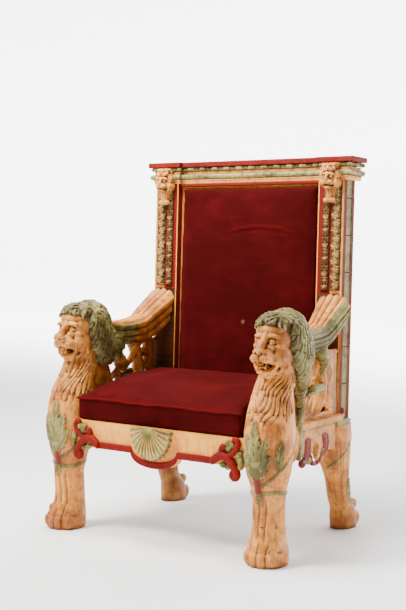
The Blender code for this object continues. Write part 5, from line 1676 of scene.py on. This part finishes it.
def chain(s, z, pitch):
    """Height from 0 to 1 of the narrow strip: stacked bells, rings, leaves and beads, in pairs."""
    index = np.floor(z / pitch)
    t = z / pitch - index
    a = np.abs(s)
    kind = np.mod(index, 5)
    up = 2 * t - 1
    leaf = smoothstep(0.0, 0.18, 0.95 * np.sin(math.pi * np.clip(t, 0, 1)) ** 0.7 - a)
    leaf = leaf * (0.55 + 0.45 * np.abs(np.cos(7 * a - 4 * t)))
    radius = np.hypot(up, a * 1.15)
    ring = np.exp(-((radius - 0.72) / 0.17) ** 2) + np.exp(-(radius / 0.26) ** 2)
    bell = smoothstep(0.0, 0.16, 0.30 + 0.60 * t - a) * smoothstep(1.0, 0.86, t) * (0.6 + 0.4 * np.cos(a * 16))
    urn = smoothstep(0.0, 0.14, 0.35 + 0.45 * np.sin(math.pi * t * 2) - a)
    beads = np.sqrt(np.clip(1 - (a * 1.7) ** 2 - (np.mod(t * 2, 1) * 2 - 1) ** 2, 0, 1))
    wings = np.exp(-((a - 0.78) / 0.13) ** 2) * np.abs(np.sin(math.pi * 2 * t))
    height = np.choose(kind.astype(int), (leaf, ring, bell, urn, beads))
    return np.clip(np.maximum(height, 0.8 * wings), 0, 1)


def foliage(s, z, pitch, half):
    """Height from 0 to 1 of the wide strip: a winding stem with a leafy flower in each bend."""
    turn = 2 * math.pi * z / (2 * pitch)
    stem = np.exp(-((s - 0.55 * np.sin(turn)) / 0.13) ** 2)
    bend = np.round(z / pitch - 0.5)
    centre_z = (bend + 0.5) * pitch
    centre_s = -0.28 * np.where(np.mod(bend, 2) == 0, 1.0, -1.0)
    dz = z - centre_z
    ds = (s - centre_s) * half
    radius = np.hypot(dz, ds) / (0.56 * pitch)
    petals = np.abs(np.cos(2.5 * np.arctan2(dz, ds) + 2.0 * radius))
    flower = smoothstep(1.05, 0.80, radius) * (0.35 + 0.65 * petals ** 0.7) * smoothstep(0.16, 0.30, radius)
    heart = smoothstep(0.24, 0.14, radius)
    return np.clip(np.maximum(np.maximum(0.85 * stem, flower), heart), 0, 1) * smoothstep(1.0, 0.93, np.abs(s))


def make_strips(paints):
    back = look().back
    foot_y, foot_z = back_foot()
    for name, pitch in (("inner_strip", back.chain_pitch), ("outer_strip", back.foliage_pitch)):
        low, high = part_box(name + "_right")
        inner, outer = low.x - 0.0020, high.x + 0.0035
        bottom = back_length(low.z, 0.0)
        top = back_length(high.z, -0.009)
        middle = (inner + outer) / 2
        half = (outer - inner) / 2

        def carving(s, z, name=name, pitch=pitch, half=half):
            return chain(s, z, pitch) if name == "inner_strip" else foliage(s, z, pitch, half)

        def shape(u, v, middle=middle, half=half, bottom=bottom, top=top, carving=carving):
            s = np.clip((u * 2 - 1) * 1.08, -1, 1)
            z = bottom + (top - bottom) * v
            rim = (u < 0.03) | (u > 0.97) | (v <= 0.0) | (v >= 1.0)
            y = np.where(rim, 0.0045, -0.0010 - back.strip_relief * carving(s, z))
            return leaning(np.stack((middle + half * s, y, z), axis=1), foot_y, foot_z)

        piece = grid(name + "_right", 34, 380, shape, closed=True)
        mesh = piece.data
        co = points_of(mesh)
        c, s = math.cos(RAKE), math.sin(RAKE)
        along = (co[:, 2] - foot_z) * c + (co[:, 1] - foot_y) * s
        height = carving((co[:, 0] - middle) / half, along)
        mark_relief(mesh, 1, 1.2)
        # The recessed ground is darkened with painted shade, over red ground paint on the inner strips; the raised
        # carving is made cream, partly picked-out paint and partly a painted highlight.
        field = smoothstep(0.30, 0.10, height)
        add_attribute(mesh, "red", 0.9 * field if name == "inner_strip" else 0.0 * field)
        add_attribute(mesh, "dark", (0.62 if name == "inner_strip" else 0.92) * field)
        add_attribute(mesh, "cream", 0.55 * smoothstep(0.45, 0.85, height))
        shade_smooth(piece)
        finish_piece(piece, paints["green_paint"], "green_paint")
        both_sides(piece, name, name)


def cornice_line(node):
    """Half the width of a cornice layer, and the x where it steps forward over a post."""
    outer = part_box(node)[1].x
    post_low, post_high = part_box("back_post_right")
    overhang = outer - post_high.x
    return outer, post_low.x - overhang * 0.3


def make_cornice(paints):
    back = look().back
    foot_y, foot_z = back_foot()
    layers = (
        ("top_board", "red_paint", "board"), ("bead_moulding", "green_paint", "beads"),
        ("frieze_board", "cream_paint", "cove"), ("leaf_torus", "green_paint", "leaves"),
        ("fascia_board", "cream_paint", "board"))
    fronts = {
        "top_board": -0.012, "bead_moulding": -0.006, "frieze_board": 0.002, "leaf_torus": -0.008,
        "fascia_board": 0.0}
    rear = 0.102
    for node, finish, kind in layers:
        low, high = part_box(node)
        outer, step = cornice_line(node)
        ends = fronts[node]
        recess = 0.018 + ends
        base = back_length(low.z, rear)
        top = back_length(high.z, ends)
        thick = top - base
        corners = [
            (-outer, rear), (-outer, ends), (-step, ends), (-step, recess), (step, recess), (step, ends),
            (outer, ends), (outer, rear)]
        lengths = [math.hypot(b[0] - a[0], b[1] - a[1]) for a, b in zip(corners, corners[1:])]
        total = sum(lengths)
        cell = 0.0022
        columns = int(total / cell)
        knots = np.concatenate(([0.0], np.cumsum(lengths)))

        def shape(u, v, knots=knots, corners=corners, total=total, base=base, thick=thick, kind=kind):
            s = u * total
            xs, ys = zip(*corners)
            px = np.interp(s, knots, xs)
            py = np.interp(s, knots, ys)
            ahead = np.clip(s + 0.003, 0, total)
            behind = np.clip(s - 0.003, 0, total)
            tx = np.interp(ahead, knots, xs) - np.interp(behind, knots, xs)
            ty = np.interp(ahead, knots, ys) - np.interp(behind, knots, ys)
            size = np.maximum(np.hypot(tx, ty), 1e-9)
            nx, ny = ty / size, -tx / size
            level = np.clip((v - 0.12) / 0.76, 0, 1)
            z = base + thick * level
            if kind == "beads":
                phase = np.mod(s / look().back.bead_pitch, 1.0)
                bead = np.sqrt(np.clip(1 - ((phase - 0.36) / 0.33) ** 2, 0, 1))
                reel = sum(
                    0.62 * np.sqrt(np.clip(1 - ((phase - place) / 0.055) ** 2, 0, 1)) for place in (0.80, 0.94))
                swell = np.maximum(bead, np.maximum(reel, 0.30))
                arc = np.sqrt(np.clip(1 - (2 * level - 1) ** 2, 0, 1))
                out = 0.0095 * arc * swell - 0.0065
                z = base + thick * (0.5 + (level - 0.5) * (0.45 + 0.55 * swell))
            elif kind == "leaves":
                phase = np.mod(s / look().back.leaf_pitch, 1.0) - 0.5
                arc = np.sqrt(np.clip(1 - (2 * level - 1) ** 2, 0, 1))
                leaf = np.abs(np.cos(math.pi * (phase + 0.25 * (1 - level)))) ** 0.5
                vein = np.abs(np.sin(math.pi * 3 * phase + 2.5 * level))
                out = 0.0105 * arc * (0.72 + 0.22 * leaf + 0.10 * vein) - 0.0075
            elif kind == "cove":
                out = -0.004 * np.sin(math.pi * level)
            else:
                edge = 0.0022 * (1 - np.minimum(1, np.minimum(level, 1 - level) / 0.16)) ** 2
                out = -edge
                if thick < 0.020 and node == "fascia_board":
                    out = out + 0.003 * (level > 0.62)
            hidden = (v < 0.04) | (v > 0.96)
            x = np.where(hidden, px * 0.985, px + nx * out)
            y = np.where(hidden, np.maximum(py, 0.05), py + ny * out)
            y = np.where((v <= 0.0) | (v >= 1.0), 0.06, y)
            return leaning(np.stack((x, y, z), axis=1), foot_y, foot_z)

        piece = grid(node, columns, 22 if kind in ("beads", "leaves") else 12, shape, closed=True)
        shade_smooth(piece, 38)
        mark_relief(piece.data, 1, 1.6)
        co = points_of(piece.data)
        upright = (co[:, 2] - foot_z) * math.cos(RAKE) + (co[:, 1] - foot_y) * math.sin(RAKE)
        edge = np.minimum(upright - base, base + thick - upright)
        # Painted shade in the crevices between the layers and, on the beads and leaves, in the hollows of the carving.
        grime_and_shade = 0.75 * smoothstep(0.0030, 0.0008, edge) if kind != "board" else 0.35 * smoothstep(0.0015, 0.0, edge)
        if kind in ("beads", "leaves"):
            grime_and_shade = np.maximum(grime_and_shade, 0.9 * smoothstep(-0.02, 0.13, read_attribute(piece.data, "relief")))
        add_attribute(piece.data, "dark", grime_and_shade)
        finish_piece(piece, paints[finish], finish, node)
    low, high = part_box("lintel")
    bm = bmesh.new()
    half = high.x
    base = back_length(low.z, 0.08)
    top = back_length(high.z, 0.012)
    box(bm, (-half, 0.012, base), (half, 0.06, top))
    bmesh.ops.subdivide_edges(bm, edges=[e for e in bm.edges if abs(e.verts[0].co.x - e.verts[1].co.x) > 0.2], cuts=40)
    bevel(bm, 0.0022, 2, [e for e in bm.edges if e.calc_face_angle(0.0) > 0.6])
    lean_back(bm)
    piece = object_from(bm, "lintel")
    wobble(piece, 0.0004)
    shade_smooth(piece, 35)
    finish_piece(piece, paints["red_paint"], "red_paint", "lintel")


def make_corbels(paints):
    low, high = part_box("corbel_right")
    foot_y, foot_z = back_foot()
    x = (low.x + high.x) / 2
    top = back_length(high.z, -0.03)
    clay = Clay()

    def at(dx, y, dz):
        return (x + dx, y, top + dz)

    clay.lump(at(0, 0.000, -0.022), (0.029, 0.036, 0.020), "crown")
    for curl in range(7):
        across = (curl - 3) * 0.0088
        bow = 9 * across * across
        clay.lump(at(across, -0.030 + bow, -0.012 - 0.004 * (curl % 2)), (0.0062, 0.0075, 0.0070), "crown")
        clay.lump(at(across * 0.9, -0.038 + bow, -0.026 - 0.003 * (curl % 3)), (0.0056, 0.0065, 0.0075), "crown")
    for tuft in range(6):
        for side in (-1, 1):
            lean = 0.35 * (tuft % 2)
            clay.lump(at(side * (0.031 - 0.0006 * (tuft - 2) ** 2), -0.018 + 0.008 * lean, -0.036 - 0.0105 * tuft),
                      (0.0075, 0.0130, 0.0080), "face", (20, side * 20, 0))
    clay.lump(at(0, -0.004, -0.060), (0.034, 0.040, 0.034), "face")
    clay.lump(at(0, -0.038, -0.074), (0.015, 0.018, 0.015), "face")
    clay.limb((at(0, -0.038, -0.046) + (0.0075,), at(0, -0.050, -0.068) + (0.0085,)), "face")
    for side in (-1, 1):
        clay.lump(at(side * 0.027, -0.010, -0.078), (0.015, 0.024, 0.020), "face")
        clay.lump(at(side * 0.012, -0.040, -0.080), (0.012, 0.014, 0.010), "face")
        clay.lump(at(side * 0.015, -0.036, -0.048), (0.012, 0.010, 0.006), "face", (0, side * 14, 0))
        clay.lump(at(side * 0.015, -0.035, -0.057), (0.006, 0.006, 0.005), "face")
        clay.lump(at(side * 0.033, -0.016, -0.046), (0.010, 0.014, 0.013), "face")
    clay.lump(at(0, -0.030, -0.096), (0.015, 0.016, 0.008), "face")
    clay.limb((at(0, -0.004, -0.086) + (0.030,), at(0, -0.006, -0.115) + (0.020,),
               at(0, -0.010, -0.138) + (0.0155,)), "neck")
    clay.limb((at(-0.016, -0.018, -0.144) + (0.010,), at(0.016, -0.018, -0.144) + (0.010,)), "neck")
    piece = clay.melt("corbel_right", 0.0013, 2)
    mesh = piece.data
    co = points_of(mesh)
    fx, y, z = co[:, 0] - x, co[:, 1], co[:, 2] - top
    depth = np.zeros(len(co))
    angle = np.arctan2(fx, -y)
    neck = smoothstep(-0.088, -0.100, z) * smoothstep(-0.150, -0.134, z)
    depth += 0.0020 * (np.abs(np.sin(angle * 7 + 30 * z)) ** 0.7 - 0.5) * neck
    mane = smoothstep(0.018, 0.030, np.abs(fx)) * smoothstep(-0.095, -0.080, z) * smoothstep(-0.030, -0.045, z)
    depth += 0.0020 * (np.abs(np.sin(angle * 11 + 60 * z)) ** 0.7 - 0.5) * mane
    crown = smoothstep(-0.036, -0.030, z)
    depth += 0.0014 * (np.abs(np.sin(fx * 520)) ** 0.6 - 0.5) * crown
    dark = np.zeros(len(co))
    for side in (-1, 1):
        eye = np.hypot(fx - side * 0.0145, z + 0.0575)
        dark = np.maximum(dark, 0.8 * smoothstep(0.0030, 0.0014, eye) * (y < -0.025))
        # Painted shade in the hollow round each eye.
        hollow = np.exp(-((eye - 0.0075) / 0.0022) ** 2) * (y < -0.020)
        depth -= 0.0024 * hollow
        dark = np.maximum(dark, 0.55 * hollow)
        for spot in range(3):
            dot = np.hypot(fx - side * (0.008 + 0.006 * spot), z + 0.079 + 0.002 * spot)
            dark = np.maximum(dark, 0.75 * smoothstep(0.0018, 0.0010, dot) * (y < -0.03))
    mouth = np.exp(-((z + 0.0895 + 8 * fx * fx) / 0.0020) ** 2) * (np.abs(fx) < 0.018) * (y < -0.02)
    depth -= 0.0035 * mouth
    dark = np.maximum(dark, 0.8 * mouth)
    co += normals_of(mesh) * depth[:, None]
    co[:, 1] = np.minimum(co[:, 1], -0.002)
    co[:, 2] = np.minimum(co[:, 2], top + 0.001)
    set_points(mesh, leaning(co, foot_y, foot_z))
    add_attribute(mesh, "dark", dark)
    mark_relief(mesh, 2, 1.5)
    slimmed(piece, FACETS["corbel"])
    shade_smooth(piece)
    finish_piece(piece, paints["peach_paint"], "peach_paint")
    both_sides(piece, "corbel", "corbel")


def make_boards(paints):
    for node in ("back_board", "rear_rail", "seat_board"):
        bm = packed_form(node)
        bevel(bm, 0.0015, 2, [e for e in bm.edges if e.calc_face_angle(0.0) > 0.6])
        piece = object_from(bm, node)
        shade_smooth(piece, 35)
        if node == "back_board":
            piece.data.materials.append(paints["cream_paint"])
            piece.data.materials.append(paints["bare_wood"])
            for face in piece.data.polygons:
                face.material_index = 0 if face.normal.y < -0.5 else 1
        finish_piece(piece, paints["bare_wood"], "cream_paint" if node == "back_board" else "bare_wood", node)
    low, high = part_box("post_base_right")
    bm = bmesh.new()
    box(bm, low, high)
    bevel(bm, 0.0045, 3)
    piece = object_from(bm, "post_base_right")
    shade_smooth(piece, 35)
    finish_piece(piece, paints["green_paint"], "green_paint")
    both_sides(piece, "post_base", "post_base")


# Upholstery

def simulated(piece, frames=20):
    """Blow the cover up a little and let it settle."""
    velvet = look().velvet
    rest = points_of(piece.data)
    cloth = piece.modifiers.new("stuffing", "CLOTH")
    cloth.settings.use_pressure = True
    cloth.settings.uniform_pressure_force = velvet.pressure
    cloth.settings.effector_weights.gravity = 0.0
    cloth.settings.quality = 5
    cloth.settings.tension_stiffness = 22
    cloth.settings.compression_stiffness = 22
    cloth.settings.bending_stiffness = 1.2
    cloth.point_cache.frame_start = 1
    cloth.point_cache.frame_end = frames
    scene = bpy.context.scene
    for step in range(1, frames + 1):
        scene.frame_set(step)
    baked(piece)
    scene.frame_set(1)
    moved = points_of(piece.data) - rest
    size = np.linalg.norm(moved, axis=1)
    limit = np.minimum(1.0, velvet.reach / np.maximum(size, 1e-9))
    set_points(piece.data, rest + moved * limit[:, None])


def cushion_from(node):
    piece = object_from(packed_form(node), node)
    melt = piece.modifiers.new("melt", "REMESH")
    melt.mode = "VOXEL"
    melt.voxel_size = look().velvet.grain
    soften = piece.modifiers.new("soften", "SMOOTH")
    soften.factor = 0.5
    soften.iterations = 6
    baked(piece)
    simulated(piece)
    return piece


def make_seat_cushion(paints):
    piece = cushion_from("seat_cushion")
    low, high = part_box("seat_cushion")
    mesh = piece.data
    co = points_of(mesh)
    x, y, z = co.T
    top = smoothstep(0.05, 0.075, z - low.z)
    depth = np.zeros(len(co))
    for x0, y0, x1, y1, width, height in (
            (0.30, 0.06, -0.02, -0.06, 0.045, -0.0035), (0.33, -0.04, 0.02, -0.14, 0.040, -0.0040),
            (0.30, 0.12, 0.06, 0.03, 0.035, 0.0025), (0.34, -0.10, 0.10, -0.20, 0.030, 0.0020),
            (-0.30, -0.26, 0.05, -0.29, 0.030, -0.0015)):
        ax, ay = x1 - x0, y1 - y0
        span = math.hypot(ax, ay)
        t = ((x - x0) * ax + (y - y0) * ay) / span ** 2
        d = ((x - x0) * ay - (y - y0) * ax) / span
        depth += height * np.exp(-(d / width) ** 2) * smoothstep(-0.1, 0.25, t) * smoothstep(1.1, 0.6, t)
    depth += 0.0012 * noise(co, 9, 0.8)
    co += normals_of(mesh) * (depth * top)[:, None]
    set_points(mesh, co)
    # Worn pile and painted sheen: lighter patches on the seat's top and a lighter line along the front edge.
    worn_and_sheen = top * smoothstep(0.35, 0.9, 0.5 + 0.5 * noise(co, 8, 0.15)) * 0.8
    edge = np.exp(-((z - (low.z + 0.085)) / 0.006) ** 2) * smoothstep(low.y + 0.02, low.y, y)
    add_attribute(mesh, "worn_and_sheen", np.clip(worn_and_sheen * 0.5 + 0.8 * edge, 0, 1))
    shade_smooth(piece)
    finish_piece(piece, paints["velvet"], "velvet", "seat_cushion")
    bm = bmesh.new()
    front_y = low.y + 0.0012
    run = high.x - low.x
    steps = 120
    velvet = look().velvet
    bmesh.ops.create_circle(
        bm, segments=10, radius=velvet.welt,
        matrix=Matrix.Translation((low.x + 0.010, front_y, low.z + 0.083)) @ Matrix.Rotation(math.pi / 2, 4, "Y"))
    edges = bm.edges[:]
    for step in range(steps):
        grown = bmesh.ops.extrude_edge_only(bm, edges=edges)["geom"]
        verts = [g for g in grown if isinstance(g, bmesh.types.BMVert)]
        edges = [g for g in grown if isinstance(g, bmesh.types.BMEdge)]
        bmesh.ops.translate(bm, verts=verts, vec=((run - 0.020) / steps, 0, 0))
    bmesh.ops.holes_fill(bm, edges=[e for e in bm.edges if e.is_boundary], sides=0)
    bmesh.ops.recalc_face_normals(bm, faces=bm.faces)
    welt = object_from(bm, "seat_welt")
    co = points_of(welt.data)
    co[:, 2] += 0.0016 * np.sin(co[:, 0] * 21) + 0.0008 * np.sin(co[:, 0] * 63)
    set_points(welt.data, co)
    # The piping is made lighter: worn pile and painted sheen.
    add_attribute(welt.data, "worn_and_sheen", np.full(len(co), 0.8))
    shade_smooth(welt)
    finish_piece(welt, paints["velvet"], "velvet")


def make_back_cushion(paints):
    piece = cushion_from("back_cushion")
    low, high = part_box("back_cushion")
    mesh = piece.data
    co = points_of(mesh)
    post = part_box("back_post_right")[0].x
    span = np.clip((co[:, 0] - low.x) / (high.x - low.x), 0, 1)
    rise = np.clip((co[:, 2] - low.z) / (high.z - low.z), 0, 1)
    left_edge = -post + 0.006 + 0.010 * rise
    stretched = left_edge + (post - 0.0015 - left_edge) * span
    stretched += (co[:, 0] - low.x - span * (high.x - low.x))
    lift = (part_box("lintel")[0].z - 0.0015 - high.z) * rise
    co = np.stack((stretched, co[:, 1] + lift * math.tan(RAKE), co[:, 2] + lift), axis=1)
    set_points(mesh, co)
    x, y, z = co.T
    crease_z = low.z + 0.825 * (high.z - low.z) - 0.10 * (x - 0.08) ** 2 / 0.10
    fade = smoothstep(-0.10, 0.0, x) * smoothstep(0.26, 0.18, x)
    crease = np.exp(-((z - crease_z) / 0.006) ** 2) * fade
    depth = 0.0022 * crease - 0.002 * np.exp(-((z - crease_z + 0.014) / 0.008) ** 2) * fade
    depth += 0.0011 * noise(co, 7, 0.55)
    co += normals_of(mesh) * depth[:, None]
    set_points(mesh, co)
    # Worn pile, with a painted sheen along the crease's ridge.
    add_attribute(mesh, "worn_and_sheen", np.clip(0.55 * crease + 0.25 * smoothstep(0.2, 0.9, noise(co, 6, 0.25)), 0, 1))
    mark = np.hypot(x - 0.02, z - (low.z + 0.40 * (high.z - low.z)))
    add_attribute(mesh, "pale", 0.8 * smoothstep(0.010, 0.003, mark + 0.004 * noise(co, 300, 0.4)))
    shade_smooth(piece)
    finish_piece(piece, paints["velvet"], "velvet", "back_cushion")


# Stage

def area_light(name, power, size, place, target, tint=(1.0, 1.0, 1.0)):
    data = bpy.data.lights.new(name, "AREA")
    data.shape = "RECTANGLE"
    data.size = size[0]
    data.size_y = size[1]
    data.energy = power
    data.color = tint
    lamp = bpy.data.objects.new(name, data)
    lamp.location = place
    lamp.rotation_mode = "QUATERNION"
    lamp.rotation_quaternion = (Vector(target) - Vector(place)).to_track_quat("-Z", "Y")
    bpy.context.scene.collection.objects.link(lamp)


def make_stage():
    stage = look().stage
    paper_width, paper_length, paper_front = 44, 34, -12.0
    flat, bent, bend_radius = 20.0, 3.2, 2.0

    def sweep(u, v):
        x = (u - 0.5) * paper_width
        s = v * paper_length
        bend = np.clip((s - flat) / bent, 0, 1) * math.pi / 2
        y = paper_front + np.minimum(s, flat) + bend_radius * np.sin(bend)
        z = bend_radius * (1 - np.cos(bend)) + np.maximum(0.0, s - flat - bent)
        return np.stack((x, y, z), axis=1)

    floor = grid("studio_floor", 8, 120, sweep)
    shade_smooth(floor)
    n = Nodes("studio_paper")
    soft = n.noise(1.2, 2.0)
    n.link(n.mix(soft, tuple(c * 0.985 for c in stage.floor), tuple(stage.floor)), n.shader.inputs["Base Color"])
    n.shader.inputs["Roughness"].default_value = 0.75
    n.shader.inputs["Specular IOR Level"].default_value = 0.2
    n.shader.inputs["Emission Color"].default_value = (1.0, 1.0, 1.0, 1.0)
    place = n.add("ShaderNodeSeparateXYZ")
    n.link(n.place, place.inputs["Vector"])
    glow = n.math("MULTIPLY", n.step(place.outputs["Y"], 2.0, 6.5), stage.backdrop)
    n.link(glow, n.shader.inputs["Emission Strength"])
    floor.data.materials.append(n.material)
    world = bpy.data.worlds.new("studio")
    world.use_nodes = True
    world.node_tree.nodes["Background"].inputs["Color"].default_value = (1.0, 1.0, 1.0, 1.0)
    world.node_tree.nodes["Background"].inputs["Strength"].default_value = stage.sky
    bpy.context.scene.world = world
    area_light("key", stage.key, (1.3, 1.3), (-1.9, -2.5, 4.1), (0.0, 0.0, 0.70), (1.0, 0.96, 0.90))
    area_light("fill", stage.fill, (2.2, 2.2), (3.8, -2.2, 1.8), (0.0, 0.0, 0.7), (1.0, 0.96, 0.91))
    area_light("top", stage.top, (1.3, 1.3), (-0.35, -0.45, 3.5), (0.0, 0.0, 0.4))
    camera = bpy.data.cameras.new("camera")
    camera.lens = stage.lens
    camera.sensor_width = 36.0
    camera.clip_end = 100.0
    eye = bpy.data.objects.new("camera", camera)
    eye.location = (2.681, -3.7845, 1.149)
    azimuth = math.radians(35.60)
    pitch = math.radians(3.59)
    forward = Vector((
        -math.sin(azimuth) * math.cos(pitch), math.cos(azimuth) * math.cos(pitch), -math.sin(pitch)))
    eye.rotation_mode = "QUATERNION"
    eye.rotation_quaternion = forward.to_track_quat("-Z", "Y")
    bpy.context.scene.collection.objects.link(eye)
    bpy.context.scene.camera = eye


# Operators

class ArmchairLook(bpy.types.PropertyGroup):
    """Everything that can be set."""

    paint: bpy.props.PointerProperty(type=PaintLook, name="Paint", description="Colours of the wood")
    lion: bpy.props.PointerProperty(type=LionLook, name="Lions", description="Lions and legs")
    arm: bpy.props.PointerProperty(type=ArmLook, name="Arms", description="Wings and scrollwork")
    back: bpy.props.PointerProperty(type=BackLook, name="Back", description="Posts and cornice")
    velvet: bpy.props.PointerProperty(type=VelvetLook, name="Velvet", description="Upholstery")
    stage: bpy.props.PointerProperty(type=StageLook, name="Stage", description="Floor, lights and camera")


class ARMCHAIR_OT_stage(bpy.types.Operator):
    """Set up the floor, lights and camera"""

    bl_idname = "armchair.stage"
    bl_label = "Stage"

    def execute(self, context):
        make_stage()
        return {"FINISHED"}


class ARMCHAIR_OT_lions(bpy.types.Operator):
    """Carve the two lions"""

    bl_idname = "armchair.lions"
    bl_label = "Lions"

    def execute(self, context):
        make_lions(finishes())
        return {"FINISHED"}


class ARMCHAIR_OT_back_legs(bpy.types.Operator):
    """Carve the two back legs"""

    bl_idname = "armchair.back_legs"
    bl_label = "Back legs"

    def execute(self, context):
        make_back_legs(finishes())
        return {"FINISHED"}


class ARMCHAIR_OT_arms(bpy.types.Operator):
    """Carve the wings, scroll panels, side rails and shelves"""

    bl_idname = "armchair.arms"
    bl_label = "Arms"

    def execute(self, context):
        make_wings(finishes())
        make_arm_panels(finishes())
        make_side_rails(finishes())
        make_side_shelves(finishes())
        return {"FINISHED"}


class ARMCHAIR_OT_front(bpy.types.Operator):
    """Carve the front rail with its moulding, shell and scrolls"""

    bl_idname = "armchair.front"
    bl_label = "Front rail"

    def execute(self, context):
        make_front_rail(finishes())
        make_shell(finishes())
        make_front_scrolls(finishes())
        return {"FINISHED"}


class ARMCHAIR_OT_back(bpy.types.Operator):
    """Build the posts, strips, cornice, corbels and boards"""

    bl_idname = "armchair.back"
    bl_label = "Back"

    def execute(self, context):
        make_posts(finishes())
        make_strips(finishes())
        make_cornice(finishes())
        make_corbels(finishes())
        make_boards(finishes())
        return {"FINISHED"}


class ARMCHAIR_OT_upholstery(bpy.types.Operator):
    """Stuff the seat and back cushions"""

    bl_idname = "armchair.upholstery"
    bl_label = "Upholstery"

    def execute(self, context):
        make_seat_cushion(finishes())
        make_back_cushion(finishes())
        return {"FINISHED"}


class ARMCHAIR_PT_panel(bpy.types.Panel):
    """Sidebar panel with the sizes, colours and steps."""

    bl_idname = "ARMCHAIR_PT_panel"
    bl_label = "Ceremonial armchair"
    bl_space_type = "VIEW_3D"
    bl_region_type = "UI"
    bl_category = "Armchair"

    def draw(self, context):
        settings = context.scene.armchair_look
        for group in (settings.paint, settings.lion, settings.arm, settings.back, settings.velvet, settings.stage):
            column = self.layout.column()
            for name in group.bl_rna.properties.keys():
                if name not in ("rna_type", "name"):
                    column.prop(group, name)
        for step in STEPS:
            self.layout.operator("armchair." + step)


STEPS = ("stage", "lions", "back_legs", "arms", "front", "back", "upholstery")
CLASSES = (
    PaintLook, LionLook, ArmLook, BackLook, VelvetLook, StageLook, ArmchairLook,
    ARMCHAIR_OT_stage, ARMCHAIR_OT_lions, ARMCHAIR_OT_back_legs, ARMCHAIR_OT_arms, ARMCHAIR_OT_front,
    ARMCHAIR_OT_back, ARMCHAIR_OT_upholstery, ARMCHAIR_PT_panel,
)


def register():
    for kind in CLASSES:
        bpy.utils.register_class(kind)
    bpy.types.Scene.armchair_look = bpy.props.PointerProperty(
        type=ArmchairLook, name="Armchair", description="Sizes and colours of the armchair")


def unregister():
    del bpy.types.Scene.armchair_look
    for kind in reversed(CLASSES):
        bpy.utils.unregister_class(kind)


def main():
    register()
    for step in STEPS:
        getattr(bpy.ops.armchair, step)()


if __name__ == "__main__":
    main()
